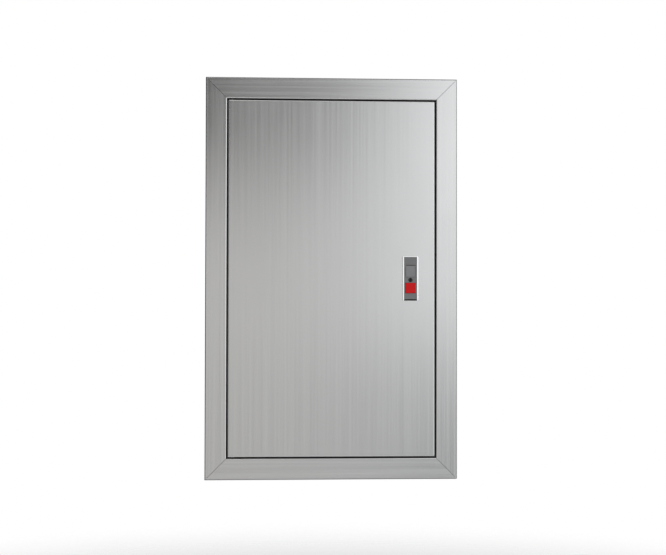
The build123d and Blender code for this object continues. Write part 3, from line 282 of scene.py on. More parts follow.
def galvanised(name):
    # zinc spangle: flat crystals, each its own grey
    material, tree, shader, place = startFinish(name, Metallic=1.0)
    bent = addNode(tree, "ShaderNodeVectorMath", operation="ADD")
    swirl = addNode(tree, "ShaderNodeTexNoise", {"Vector": place, "Scale": 60.0, "Detail": 2.0})
    small = addNode(tree, "ShaderNodeVectorMath", operation="SCALE")
    feed(tree, swirl.outputs["Color"], small.inputs[0])
    small.inputs["Scale"].default_value = 0.012
    feed(tree, place, bent.inputs[0])
    feed(tree, small.outputs[0], bent.inputs[1])
    crystal = addNode(tree, "ShaderNodeTexVoronoi", {"Vector": bent.outputs[0], "Scale": 95.0})
    split = addNode(tree, "ShaderNodeSeparateColor", {"Color": crystal.outputs["Color"]})
    hands = useGroup(tree, handling, {"Scale": 4.0})
    colour = mixColour(tree, split.outputs[0], (0.44, 0.46, 0.48), (0.66, 0.68, 0.69))
    colour = mixColour(tree, calc(tree, "MULTIPLY", hands["Smear"], 0.35), colour,
                       (0.40, 0.41, 0.42))
    feed(tree, colour, shader.inputs["Base Color"])
    rough = calc(tree, "ADD", calc(tree, "MULTIPLY", split.outputs[1], 0.18), 0.34)
    feed(tree, calc(tree, "ADD", rough, calc(tree, "MULTIPLY", hands["Dust"], 0.2)),
         shader.inputs["Roughness"])
    bumpBy(tree, shader, crystal.outputs["Distance"], 0.00005, 0.3)
    return material


def coated(name, tone, roughness=0.45, peel=0.00006, scale=1400.0, wornTo=(0.55, 0.56, 0.57)):
    # powder coat with a light orange peel, rubbed through a little on its edges
    material, tree, shader = startFinish(name, Metallic=0.0)[:3]
    skin = useGroup(tree, moulding, {"Scale": scale})
    hands = useGroup(tree, handling, {"Scale": 7.0})
    worn = useGroup(tree, edgeWear, {"Reach": 0.0007, "Amount": 0.45, "Breakup": 260.0})
    deep = tuple(c * 0.92 for c in tone)
    colour = mixColour(tree, skin["Tone"], deep, tone)
    colour = mixColour(tree, calc(tree, "MULTIPLY", hands["Dust"], 0.25), colour,
                       (0.62, 0.60, 0.57))
    colour = mixColour(tree, worn["Mask"], colour, wornTo)
    feed(tree, colour, shader.inputs["Base Color"])
    rough = calc(tree, "ADD", calc(tree, "MULTIPLY", hands["Smear"], 0.12), roughness)
    feed(tree, rough, shader.inputs["Roughness"])
    bumpBy(tree, shader, skin["Height"], peel)
    return material


def moulded(name, tone, roughness=0.42, grain=0.00003, scale=2600.0, coat=0.0, shine=0.5):
    # moulded plastic or rubber
    material, tree, shader = startFinish(name, Metallic=0.0, Coat_Weight=coat,
                                         Specular_IOR_Level=shine)[:3]
    skin = useGroup(tree, moulding, {"Scale": scale})
    hands = useGroup(tree, handling, {"Scale": 11.0})
    worn = useGroup(tree, edgeWear, {"Reach": 0.0004, "Amount": 0.35, "Breakup": 400.0})
    deep = tuple(c * 0.88 for c in tone)
    rubbed = tuple(min(1.0, c * 1.25 + 0.02) for c in tone)
    colour = mixColour(tree, skin["Tone"], deep, tone)
    colour = mixColour(tree, worn["Mask"], colour, rubbed)
    colour = mixColour(tree, calc(tree, "MULTIPLY", hands["Dust"], 0.12), colour, (0.5, 0.49, 0.47))
    feed(tree, colour, shader.inputs["Base Color"])
    rough = calc(tree, "ADD", calc(tree, "MULTIPLY", hands["Smear"], 0.1), roughness)
    feed(tree, rough, shader.inputs["Roughness"])
    bumpBy(tree, shader, skin["Height"], grain)
    return material


def plated(name, tone, roughness=0.22, shift=None):
    # bright or passivated plating with small tone changes over the surface
    material, tree, shader, place = startFinish(name, Metallic=1.0)
    hands = useGroup(tree, handling, {"Scale": 45.0})
    worn = useGroup(tree, edgeWear, {"Reach": 0.0004, "Amount": 0.5, "Breakup": 500.0})
    colour = mixColour(tree, hands["Smear"], tone, shift or tuple(c * 0.85 for c in tone))
    colour = mixColour(tree, worn["Mask"], colour, tuple(min(1.0, c * 1.2) for c in tone))
    feed(tree, colour, shader.inputs["Base Color"])
    fine = noise(tree, place, 900.0, 3.0, 0.6)
    rough = calc(tree, "ADD", calc(tree, "MULTIPLY", fine, 0.1), roughness - 0.05)
    feed(tree, calc(tree, "ADD", rough, calc(tree, "MULTIPLY", hands["Dust"], 0.12)),
         shader.inputs["Roughness"])
    bumpBy(tree, shader, fine, 0.00001, 0.4)
    return material


# the near-black colour at the foot is a painted shadow line under the lock plate
lockFace = {"rim": (0.95, 0.95, 0.96), "field": (0.27, 0.27, 0.275), "foot": (0.008, 0.008, 0.008),
            "rimRoughness": 0.06, "fieldRoughness": 0.40, "sideBorder": 2.75, "topBorder": 1.35, "paintedShadowHeight": 2.6}


def lockPlatingWithPaintedShadow(name):
    # bright rim at the sides and top, a blasted darker field inside it, and a near-black painted shadow strip at
    # the foot
    material, tree, shader, place = startFinish(name, Metallic=1.0)
    low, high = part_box("lock_housing")
    centre = (low + high) / 2
    axes = addNode(tree, "ShaderNodeSeparateXYZ", {"Vector": place}).outputs
    acrossX = calc(tree, "ABSOLUTE", calc(tree, "SUBTRACT", axes["X"], centre.x))
    fromSide = calc(tree, "SUBTRACT", (high.x - low.x) / 2 - lockFace["sideBorder"] * mm, acrossX)
    fromTop = calc(tree, "SUBTRACT", high.z - lockFace["topBorder"] * mm, axes["Z"])
    inside = smoothStep(tree, calc(tree, "MINIMUM", fromSide, fromTop), -0.05 * mm, 0.1 * mm)
    # painted shadow: a near-black strip across the field at the lock's foot
    paintedShadowTop = low.z + lockFace["paintedShadowHeight"] * mm
    foot = calc(tree, "MULTIPLY", smoothStep(tree, axes["Z"], paintedShadowTop, paintedShadowTop - 0.15 * mm), inside)
    blast = noise(tree, place, 3000.0, 2.0, 0.6)
    fieldTone = mixColour(tree, blast, tuple(c * 0.8 for c in lockFace["field"]), lockFace["field"])
    colour = mixColour(tree, inside, lockFace["rim"], fieldTone)
    colour = mixColour(tree, foot, colour, lockFace["foot"])
    feed(tree, colour, shader.inputs["Base Color"])
    hands = useGroup(tree, handling, {"Scale": 40.0})
    rough = smoothStep(tree, inside, 0.0, 1.0, lockFace["rimRoughness"], lockFace["fieldRoughness"])
    feed(tree, calc(tree, "ADD", rough, calc(tree, "MULTIPLY", hands["Smear"], 0.06)),
         shader.inputs["Roughness"])
    bumpBy(tree, shader, calc(tree, "MULTIPLY", blast, inside), 0.00003, 0.5)
    return material


def boardMask(name, tone, copper):
    # solder mask over copper tracks, which show as slightly lighter lines, with tinned dots
    material, tree, shader, place = startFinish(name, Metallic=0.0, Coat_Weight=0.35,
                                                Coat_Roughness=0.15)
    flat = stretched(tree, place, (1.0, 0.0, 1.0))
    cells = addNode(tree, "ShaderNodeTexVoronoi", {"Vector": flat, "Scale": 210.0,
                                                   "Randomness": 0.55},
                    distance="CHEBYCHEV")
    lines = addNode(tree, "ShaderNodeTexBrick",
                    {"Vector": addNode(tree, "ShaderNodeVectorRotate",
                                       {"Vector": flat, "Angle": math.pi / 2},
                                       rotation_type="X_AXIS").outputs[0],
                     "Scale": 120.0, "Mortar Size": 0.035, "Brick Width": 1.7, "Row Height": 0.32})
    track = smoothStep(tree, lines.outputs["Fac"], 0.3, 0.7)
    patch = smoothStep(tree, noise(tree, flat, 22.0, 2.0), 0.42, 0.5)
    dots = smoothStep(tree, cells.outputs["Distance"], 0.14, 0.10)
    colour = mixColour(tree, calc(tree, "MULTIPLY", track, patch), tone,
                       tuple(c * 1.9 for c in tone))
    colour = mixColour(tree, dots, colour, copper)
    feed(tree, colour, shader.inputs["Base Color"])
    feed(tree, smoothStep(tree, dots, 0.0, 1.0, 0.4, 0.22), shader.inputs["Roughness"])
    feed(tree, dots, shader.inputs["Metallic"])
    bumpBy(tree, shader, calc(tree, "ADD", calc(tree, "MULTIPLY", track, 0.5), dots), 0.00004, 0.6)
    return material


def lens(name, tone):
    # diffused lamp lens: milky and glossy
    material, tree, shader, place = startFinish(name, Metallic=0.0, Coat_Weight=0.5,
                                                Coat_Roughness=0.05)
    milk = noise(tree, place, 700.0, 3.0, 0.6)
    feed(tree, mixColour(tree, milk, tuple(c * 0.75 for c in tone), tone),
         shader.inputs["Base Color"])
    feed(tree, calc(tree, "ADD", calc(tree, "MULTIPLY", milk, 0.1), 0.16),
         shader.inputs["Roughness"])
    shader.inputs["Subsurface Weight"].default_value = 0.25
    shader.inputs["Subsurface Radius"].default_value = (0.002, 0.002, 0.002)
    bumpBy(tree, shader, milk, 0.00002, 0.4)
    return material


def displayGlass(name):
    # unlit display: a dark green field of character cells behind glass
    material, tree, shader, place = startFinish(name, Metallic=0.0, Coat_Weight=1.0,
                                                Coat_Roughness=0.03)
    low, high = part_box("display_bezel")
    centre = (low + high) / 2
    grid = addNode(tree, "ShaderNodeMapping", {"Vector": place,
                                               "Location": (-centre.x, 0, -centre.z)})
    axes = addNode(tree, "ShaderNodeSeparateXYZ", {"Vector": grid.outputs[0]}).outputs
    cellWide, cellTall = 5.6 * mm, 11.5 * mm
    across = calc(tree, "PINGPONG", axes["X"], cellWide / 2)
    along = calc(tree, "PINGPONG", axes["Z"], cellTall / 2)
    cell = calc(tree, "MULTIPLY", smoothStep(tree, across, 0.3 * mm, 0.45 * mm),
                smoothStep(tree, along, 0.8 * mm, 1.0 * mm))
    insideX = smoothStep(tree, calc(tree, "ABSOLUTE", axes["X"]), 56.2 * mm, 55.8 * mm)
    insideZ = smoothStep(tree, calc(tree, "ABSOLUTE", axes["Z"]), 23.2 * mm, 22.8 * mm)
    cell = calc(tree, "MULTIPLY", cell, calc(tree, "MULTIPLY", insideX, insideZ))
    cloud = noise(tree, place, 30.0, 2.0)
    field = mixColour(tree, cloud, (0.085, 0.125, 0.06), (0.11, 0.155, 0.075))
    feed(tree, mixColour(tree, cell, field, (0.07, 0.105, 0.052)), shader.inputs["Base Color"])
    feed(tree, calc(tree, "ADD", calc(tree, "MULTIPLY", cloud, 0.08), 0.26),
         shader.inputs["Roughness"])
    return material


def stripedSheath(name):
    # green wire with a yellow stripe that turns slowly round it
    material, tree, shader, place = startFinish(name, Roughness=0.42)
    axes = addNode(tree, "ShaderNodeSeparateXYZ", {"Vector": place}).outputs
    climb = calc(tree, "ADD", calc(tree, "MULTIPLY", axes["Z"], 420.0),
                 calc(tree, "MULTIPLY", axes["X"], 700.0))
    band = smoothStep(tree, calc(tree, "SINE", climb), 0.05, 0.25)
    tint = noise(tree, place, 300.0, 2.0)
    green = mixColour(tree, tint, (0.015, 0.16, 0.03), (0.02, 0.20, 0.04))
    feed(tree, mixColour(tree, band, green, (0.70, 0.58, 0.03)), shader.inputs["Base Color"])
    bumpBy(tree, shader, tint, 0.00002, 0.4)
    return material


def ribbonSheath(name):
    # grey cores, the first one red
    material, tree, shader, place = startFinish(name, Roughness=0.5)
    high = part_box("ribbon_cable")[1]
    across = addNode(tree, "ShaderNodeSeparateXYZ", {"Vector": place}).outputs["X"]
    first = smoothStep(tree, across, high.x - 1.5 * mm, high.x - 1.35 * mm)
    tint = noise(tree, place, 160.0, 3.0)
    grey = mixColour(tree, tint, (0.30, 0.31, 0.32), (0.38, 0.39, 0.40))
    feed(tree, mixColour(tree, first, grey, (0.42, 0.03, 0.03)), shader.inputs["Base Color"])
    bumpBy(tree, shader, tint, 0.00002, 0.4)
    return material


def fuseTube(name):
    # small glass tube with plated caps at its ends
    material, tree, shader, place = startFinish(name, Coat_Weight=1.0, Coat_Roughness=0.04)
    tint = noise(tree, place, 500.0, 2.0)
    feed(tree, mixColour(tree, tint, (0.30, 0.34, 0.33), (0.42, 0.46, 0.45)),
         shader.inputs["Base Color"])
    feed(tree, calc(tree, "ADD", calc(tree, "MULTIPLY", tint, 0.08), 0.08),
         shader.inputs["Roughness"])
    return material


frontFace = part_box("frame_lock_rail")[0].y
pastBend = frontFace + 1.0 * mm
railUpright = brushedSteel("railSteelUpright", "Z", millAndShadeDepth=pastBend, seamsAndPaintedEdgeShade=True)
railLevel = brushedSteel("railSteelLevel", "X", millAndShadeDepth=pastBend, seamsAndPaintedEdgeShade=True)
# the door's face is made of flush sheets, so it has no worn edges
doorSteel = brushedSteel("doorSteel", "Z", millAndShadeDepth=pastBend, streak=0.10, wear=0.0)
finishes = {
    "zinc": plated("zincPlate", (0.60, 0.61, 0.60), 0.32, (0.60, 0.58, 0.48)),
    "spangle": galvanised("galvanisedSheet"),
    "plate": coated("plateCoat", (0.62, 0.62, 0.60)),
    "fascia": coated("fasciaCoat", (0.105, 0.112, 0.122), 0.5, 0.00012, 900.0, (0.30, 0.31, 0.32)),
    "lock": lockPlatingWithPaintedShadow("lockPlatingWithPaintedShadow"),
    "chrome": plated("brightChrome", (0.82, 0.82, 0.83), 0.12),
    "flap": plated("satinNickel", (0.29, 0.29, 0.30), 0.38),
    "red": moulded("redButton", (0.76, 0.008, 0.010), 0.5, 0.00001, 2600.0, 0.0, 0.22),
    # painted shade: the plug is near-black to stand in for the shade of its keyhole
    "keyPlug": plated("keyPlugPaintedShade", (0.045, 0.045, 0.047), 0.30),
    "foam": moulded("sealFoam", (0.022, 0.022, 0.023), 0.9, 0.00025, 1500.0),
    "rubber": moulded("grommetRubber", (0.028, 0.028, 0.028), 0.62),
    "nylon": moulded("naturalNylon", (0.68, 0.66, 0.60), 0.45),
    "brass": plated("plainBrass", (0.74, 0.52, 0.22), 0.24, (0.60, 0.40, 0.16)),
    "board": boardMask("greenBoard", (0.012, 0.075, 0.030), (0.62, 0.60, 0.52)),
    "terminal": moulded("terminalGreen", (0.030, 0.23, 0.085), 0.42),
    "black": moulded("blackMoulding", (0.022, 0.022, 0.024), 0.38),
    "sleeve": moulded("capacitorSleeve", (0.020, 0.030, 0.095), 0.24, 0.00001, 2600.0, 0.4),
    "aluminium": brushedSteel("aluminiumSheet", "Z", (0.80, 0.80, 0.81), 0.34),
    "duct": moulded("ductGrey", (0.36, 0.37, 0.37), 0.5),
    "battery": moulded("batteryCase", (0.045, 0.046, 0.05), 0.48, 0.00006, 1800.0),
    "lampRed": lens("redLens", (0.42, 0.025, 0.02)),
    "lampAmber": lens("amberLens", (0.72, 0.30, 0.03)),
    "lampGreen": lens("greenLens", (0.05, 0.36, 0.07)),
    "keyCap": moulded("keyCapGrey", (0.48, 0.49, 0.50), 0.38),
    "bezel": moulded("bezelBlack", (0.018, 0.018, 0.02), 0.34),
    "display": displayGlass("displayGlass"),
    "pocket": moulded("pocketGrey", (0.16, 0.165, 0.17), 0.45, 0.00008, 1500.0),
    "spring": plated("springSteel", (0.45, 0.45, 0.46), 0.25),
    "tinned": plated("tinnedLead", (0.72, 0.72, 0.70), 0.3),
    "redSheath": moulded("redSheath", (0.42, 0.012, 0.010), 0.42, 0.00001, 2600.0),
    "blackSheath": moulded("blackSheath", (0.016, 0.016, 0.017), 0.42, 0.00001, 2600.0),
    "brownSheath": moulded("brownSheath", (0.11, 0.035, 0.012), 0.42, 0.00001, 2600.0),
    "blueSheath": moulded("blueSheath", (0.012, 0.07, 0.30), 0.42, 0.00001, 2600.0),
    "earthSheath": stripedSheath("earthSheath"),
    "ribbon": ribbonSheath("ribbonSheath"),
    "fuseGlass": fuseTube("fuseTube"),
    "legend": moulded("legendInk", (0.66, 0.67, 0.68), 0.5, 0.00001, 2600.0),
    "label": moulded("labelCard", (0.70, 0.70, 0.68), 0.6, 0.00002, 1200.0),
}


def giveFinish(material, *names):
    for name in names:
        for slot in cadNodes[name].material_slots:
            slot.material = material


giveFinish(railUpright, "frame_hinge_rail", "frame_lock_rail")
giveFinish(railLevel, "frame_top_rail", "frame_bottom_rail", "frame_corner_plates")
giveFinish(doorSteel, "door_skin")
giveFinish(finishes["spangle"], "back_box")
giveFinish(finishes["plate"], "mounting_plate", "battery_shelf")
giveFinish(finishes["zinc"], "pan_head_screws", "studs_and_nuts", "battery_tabs", "battery_bar",
           "fascia_pillars", "door_stiffeners", "door_pivot_brackets", "lock_clamps", "lock_flap_pin", "lock_cam")
giveFinish(finishes["foam"], "foam_seal")
giveFinish(finishes["rubber"], "entry_grommets")
giveFinish(finishes["brass"], "earth_stud")
giveFinish(finishes["board"], "loop_board", "power_supply_board", "display_board")
giveFinish(finishes["nylon"], "board_pillars")
giveFinish(finishes["terminal"], "loop_terminals")
giveFinish(finishes["black"], "board_relays", "screw_terminals", "pivot_bushes", "pivot_pins")
giveFinish(finishes["sleeve"], "board_capacitors")
giveFinish(finishes["aluminium"], "power_supply_tray", "power_supply_cover")
giveFinish(finishes["duct"], "cable_duct", "duct_cover")
giveFinish(finishes["battery"], "battery_left", "battery_right")
giveFinish(finishes["fascia"], "fascia_plate")
giveFinish(finishes["bezel"], "display_bezel")
giveFinish(finishes["display"], "display_panel")
giveFinish(finishes["lampRed"], "lamps_red")
giveFinish(finishes["lampAmber"], "lamps_amber")
giveFinish(finishes["lampGreen"], "lamp_power")
giveFinish(finishes["chrome"], "key_switch_barrel", "key_switch_key")
giveFinish(finishes["keyPlug"], "lock_plug")
giveFinish(finishes["pocket"], "document_pocket")
giveFinish(finishes["lock"], "lock_housing")
giveFinish(finishes["flap"], "lock_flap")
giveFinish(finishes["red"], "lock_button")
giveFinish(finishes["spring"], "lock_button_spring")
giveFinish(finishes["keyCap"], "button_accept", "button_silence", "button_reset", "button_test")
print("finishes given to the CAD parts")


# helpers for modelling

def deselectAll():
    bpy.ops.object.select_all(action="DESELECT")


def settle(piece, bevel=0.0, segments=2):
    # place and size go into the mesh, then the edges are broken
    deselectAll()
    piece.select_set(True)
    bpy.context.view_layer.objects.active = piece
    bpy.ops.object.transform_apply(location=True, rotation=True, scale=True)
    if bevel:
        rounding = piece.modifiers.new("rounding", "BEVEL")
        rounding.width, rounding.segments, rounding.limit_method = bevel, segments, "ANGLE"
        bpy.ops.object.modifier_apply(modifier=rounding.name)
    return piece


def addBlock(low, high, bevel=0.0, segments=2):
    # corners in millimetres
    low, high = Vector(low) * mm, Vector(high) * mm
    deselectAll()
    bpy.ops.mesh.primitive_cube_add(size=1, location=(low + high) / 2, scale=high - low)
    return settle(bpy.context.active_object, bevel * mm, segments)


def addRod(centre, axis, radius, length, sides=24, bevel=0.0):
    turn = {"X": (0, math.pi / 2, 0), "Y": (math.pi / 2, 0, 0), "Z": (0, 0, 0)}[axis]
    deselectAll()
    bpy.ops.mesh.primitive_cylinder_add(vertices=sides, radius=radius * mm, depth=length * mm,
                                        location=Vector(centre) * mm, rotation=turn)
    return settle(bpy.context.active_object, bevel * mm)


def copyBy(piece, x=0.0, y=0.0, z=0.0):
    twin = piece.copy()
    twin.data = piece.data.copy()
    bpy.context.scene.collection.objects.link(twin)
    twin.data.transform(Matrix.Translation(Vector((x, y, z)) * mm))
    return twin


def joinAs(name, pieces):
    deselectAll()
    for piece in pieces:
        piece.select_set(True)
    bpy.context.view_layer.objects.active = pieces[0]
    if len(pieces) > 1:
        bpy.ops.object.join()
    pieces[0].name = name
    return pieces[0]


def finishPiece(piece, finish, body="cabinet", angle=40.0):
    piece.data.materials.clear()
    piece.data.materials.append(finishes[finish])
    deselectAll()
    piece.select_set(True)
    bpy.context.view_layer.objects.active = piece
    bpy.ops.object.shade_smooth_by_angle(angle=math.radians(angle))
    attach(piece, body)
    return piece


def addWire(name, points, radius, order=3):
    # a smooth round wire on a NURBS line through its route, turned into a mesh
    curve = bpy.data.curves.new(name, "CURVE")
    curve.dimensions, curve.bevel_depth, curve.bevel_resolution = "3D", radius * mm, 3
    curve.resolution_u, curve.use_fill_caps = 8, True
    line = curve.splines.new("NURBS")
    line.points.add(len(points) - 1)
    for point, place in zip(line.points, points):
        point.co = (*(Vector(place) * mm), 1)
    line.order_u, line.use_endpoint_u = order, True
    piece = bpy.data.objects.new(name, curve)
    bpy.context.scene.collection.objects.link(piece)
    deselectAll()
    piece.select_set(True)
    bpy.context.view_layer.objects.active = piece
    bpy.ops.object.convert(target="MESH")
    return bpy.context.active_object


def sinkSlot(piece, face, width, depth):
    # a straight slot across a round head whose top faces the front, at Y = face
    deselectAll()
    piece.select_set(True)
    bpy.context.view_layer.objects.active = piece
    bpy.ops.object.mode_set(mode="EDIT")
    mesh = bmesh.from_edit_mesh(piece.data)
    centre = sum((v.co for v in mesh.verts), Vector()) / len(mesh.verts)
    for side in (-1, 1):
        bpy.ops.mesh.select_all(action="SELECT")
        bpy.ops.mesh.bisect(plane_co=centre + Vector((0, 0, side * width * mm / 2)),
                            plane_no=(0, 0, 1))
    bpy.ops.mesh.select_all(action="DESELECT")
    mesh = bmesh.from_edit_mesh(piece.data)
    for part in mesh.faces:
        middle = part.calc_center_median()
        facing = part.normal.y < -0.9 and abs(middle.y - face * mm) < 0.05 * mm
        part.select_set(facing and abs(middle.z - centre.z) < width * mm / 2)
    bmesh.update_edit_mesh(piece.data)
    bpy.ops.mesh.extrude_region_move(TRANSFORM_OT_translate={"value": (0, depth * mm, 0)})
    bpy.ops.object.mode_set(mode="OBJECT")
    return piece


# loop board: screws in the terminals, chips and small parts

loopTerminals = {"lowRow": (-28, 19, 66, 113), "highRow": (-28, 66, 113), "lowZ": -142.5,
                 "highZ": 37.5,
                 "ways": 8, "pitch": 5.0, "first": 3.0, "face": -39.2, "head": 1.5, "deep": 2.0}


def addTerminalScrews():
    t = loopTerminals
    screw = addRod((0, t["face"] + t["deep"] / 2, 0), "Y", t["head"], t["deep"], 14)
    sinkSlot(screw, t["face"], 0.5, 0.5)
    places = [(x, t["lowZ"]) for x in t["lowRow"]] + [(x, t["highZ"]) for x in t["highRow"]]
    heads = [copyBy(screw, x + t["first"] + i * t["pitch"], 0, z) for x,
             z in places for i in range(t["ways"])]
    bpy.data.objects.remove(screw)
    finishPiece(joinAs("terminal_clamp_screws", heads), "tinned")


stripScrews = {"head": 2.6, "deep": 1.6, "strips": (
    {"low": -165.0, "high": -105.0, "ways": 4, "z": 33.0, "face": -38.0},
    {"low": -160.0, "high": -100.0, "ways": 5, "z": 2.0, "face": -38.2},
    {"low": -150.0, "high": -80.0, "ways": 6, "z": -142.0, "face": -38.2})}


def addStripScrews():
    screw = addRod((0, 0, 0), "Y", stripScrews["head"], stripScrews["deep"], 20, 0.3)
    sinkSlot(screw, -stripScrews["deep"] / 2, 0.7, 0.6)
    heads = []
    for strip in stripScrews["strips"]:
        pitch = (strip["high"] - strip["low"] - 2) / strip["ways"]
        for i in range(strip["ways"]):
            x = strip["low"] + 1 + (i + 0.5) * pitch
            heads.append(copyBy(screw, x, strip["face"] + 6 - stripScrews["deep"] / 2, strip["z"]))
    bpy.data.objects.remove(screw)
    finishPiece(joinAs("strip_clamp_screws", heads), "zinc")


chips = {"face": -26.0, "high": 1.9, "lead": 0.42, "pitch": 1.27, "sets": (
    {"x": 50, "z": -52, "wide": 14, "tall": 14, "ways": 4},
    {"x": 22, "z": -10, "wide": 7.5, "tall": 12.7, "ways": 2},
    {"x": 44, "z": -10, "wide": 7.5, "tall": 12.7, "ways": 2},
    {"x": 66, "z": -10, "wide": 4.0, "tall": 8.9, "ways": 2},
    {"x": 104, "z": -50, "wide": 7.5, "tall": 17.5, "ways": 2},
    {"x": 126, "z": -50, "wide": 7.5, "tall": 17.5, "ways": 2})}


def addChips():
    # a body and a row of bent leads on two or on all four of its sides
    face, high, half = chips["face"], chips["high"], chips["lead"] / 2
    shoulder = addBlock((-0.9, face - high * 0.55, -half), (0.6, face - high * 0.45, half))
    foot = addBlock((-0.9, face - high * 0.45, -half), (-0.7, face, half))
    lead = joinAs("chipLead", [shoulder, foot])
    bodies, leads = [], []
    for chip in chips["sets"]:
        x, z, wide, tall = chip["x"], chip["z"], chip["wide"] / 2, chip["tall"] / 2
        bodies.append(addBlock((x - wide, face - high, z - tall), (x + wide, face - 0.2, z + tall),
                               0.25))
        count = int((chip["tall"] - 1) / chips["pitch"])
        for turn in range(chip["ways"]):
            angle = math.pi * turn if chip["ways"] == 2 else math.pi / 2 * turn
            for i in range(count + 1):
                along = (i - count / 2) * chips["pitch"]
                one = copyBy(lead, -wide, 0, along)
                one.data.transform(Matrix.Rotation(angle, 4, "Y"))
                one.data.transform(Matrix.Translation(Vector((x, 0, z)) * mm))
                leads.append(one)
    bpy.data.objects.remove(lead)
    finishPiece(joinAs("chip_bodies", bodies), "black")
    finishPiece(joinAs("chip_leads", leads), "tinned")


smallParts = {"face": -26.0, "rows": ((-22, -2, 10), (6, 18, -28), (6, 18, -36), (36, 70, 10),
                                      (36, 64, -32),
                                      (30, 72, -74), (84, 140, -30), (84, 140, -84), (20, 80, -94), (112, 160, 16)),
              "step": 4.2, "long": 2.0, "wide": 1.25, "high": 0.6, "cap": 0.45}


def addSmallParts():
    # surface-mount resistors and capacitors: a body between two tinned ends
    p = smallParts
    face, half = p["face"], p["long"] / 2
    body = addBlock((-half + p["cap"], face - p["high"], -p["wide"] / 2),
                    (half - p["cap"], face, p["wide"] / 2), 0.06, 1)
    ends = [addBlock((sx * (half - p["cap"] / 2) - p["cap"] / 2, face - p["high"] * 1.04,
                      -p["wide"] / 2 - 0.03),
                     (sx * (half - p["cap"] / 2) + p["cap"] / 2, face,
                      p["wide"] / 2 + 0.03), 0.08, 1) for sx in (-1, 1)]
    caps = joinAs("smallCaps", ends)
    bodies, tips = [], []
    for low, high, z in p["rows"]:
        for i in range(int((high - low) / p["step"]) + 1):
            if random.random() < 0.15:
                continue
            x = low + i * p["step"]
            bodies.append(copyBy(body, x, 0, z))
            tips.append(copyBy(caps, x, 0, z))
    for pattern in (body, caps):
        bpy.data.objects.remove(pattern)
    finishPiece(joinAs("small_part_bodies", bodies), "black")
    finishPiece(joinAs("small_part_ends", tips), "tinned")


fuses = {"places": ((122, -8), (148, -44)), "face": -26.0, "long": 20.0, "radius": 2.5, "lift": 4.2}


def addFuses():
    glass, metal = [], []
    for x, z in fuses["places"]:
        y = fuses["face"] - fuses["lift"]
        half = fuses["long"] / 2
        glass.append(addRod((x, y, z), "Z", fuses["radius"] - 0.25, fuses["long"] - 8, 20))
        for side in (-1, 1):
            end = z + side * (half - 2.5)
            metal.append(addRod((x, y, end), "Z", fuses["radius"], 5, 20, 0.4))
            clip = addBlock((x - 3.1, y - 1.5, end - 2), (x - 2.6, fuses["face"], end + 2), 0.1, 1)
            metal += [clip, copyBy(clip, 5.7)]
    finishPiece(joinAs("fuse_tubes", glass), "fuseGlass")
    finishPiece(joinAs("fuse_caps_and_clips", metal), "tinned")


addTerminalScrews()
addStripScrews()
addChips()
addSmallParts()
addFuses()
print("loop board fitted out")


# wiring that stays inside the cabinet

batteryLeads = {"radius": 1.5, "y": -26.5, "boot": (4.2, 3.4, 14.0),
                "positive": ((145, -198), (145, -190), (143, -182), (134, -180.5), (100, -179),
                             (40, -180.5), (-30, -179.3), (-84, -180.5), (-93, -179), (-95, -171),
                             (-95, -160), (-95, -149.5)),
                "negative": ((-145, -198), (-145, -194), (-144, -188.5), (-137, -187),
                             (-124, -187.6), (-113, -187), (-106, -186), (-105, -178),
                             (-105, -164), (-105, -149.5)),
                "link": ((-10, -198), (-10, -194), (-9.5, -187.5), (-5, -184.5), (0, -184),
                         (5, -184.5), (9.5, -187.5), (10, -194), (10, -198))}


def addBatteryLeads():
    b = batteryLeads
    for name, finish, slot, node in (("positive", "redSheath", "wire_red", "battery_lead_positive"),
                                     ("negative", "blackSheath", "wire_black",
                                      "battery_lead_negative"),
                                     ("link", "blackSheath", "wire_black", "battery_link_lead")):
        points = [(x, b["y"], z) for x, z in b[name]]
        wire = finishPiece(addWire("battery_wire_" + name, points, b["radius"]), finish,
                           angle=60)
        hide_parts(node)
    boots = []
    for x in (-145, -10, 10, 145):
        wide, deep, tall = b["boot"]
        top = -197.0
        boot = addBlock((x - wide, b["y"] - deep, top - tall), (x + wide, b["y"] + deep, top), 1.2,
                        3)
        neck = addRod((x, b["y"], top + 1.5), "Z", 2.3, 4.0, 20, 0.5)
        boots += [boot, neck]
    finishPiece(joinAs("battery_tab_boots", boots), "rubber")


ribbon = {"pitch": 1.3, "radius": 0.62,
          "route": ((-96.4, 96), (-92.5, 95), (-89, 86), (-85, 66), (-77, 46), (-62, 30),
                    (-47, 21.5), (-38, 16), (-34, 10), (-33.5, 4))}


def addRibbon():
    low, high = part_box("ribbon_cable")
    cores = round((high.x - low.x) / mm / ribbon["pitch"])
    first = low.x / mm + ((high.x - low.x) / mm - (cores - 1) * ribbon["pitch"]) / 2
    core = addWire("ribbonCore", [(first, y, z) for y, z in ribbon["route"]], ribbon["radius"])
    strands = [core] + [copyBy(core, i * ribbon["pitch"]) for i in range(1, cores)]
    cable = finishPiece(joinAs("ribbon_cores", strands), "ribbon", angle=60)
    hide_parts("ribbon_cable")
    plugs = [addBlock((85.5, -39.5, 0.6), (116.5, -32.0, 7.4), 0.5, 2),
             addBlock((85.5, -104.5, 92.6), (116.5, -96.0, 99.4), 0.5, 2)]
    pulls = [addBlock((93, -40.6, 2.2), (109, -39.3, 5.8), 0.3, 1)]
    finishPiece(joinAs("ribbon_plugs", plugs + pulls), "black")


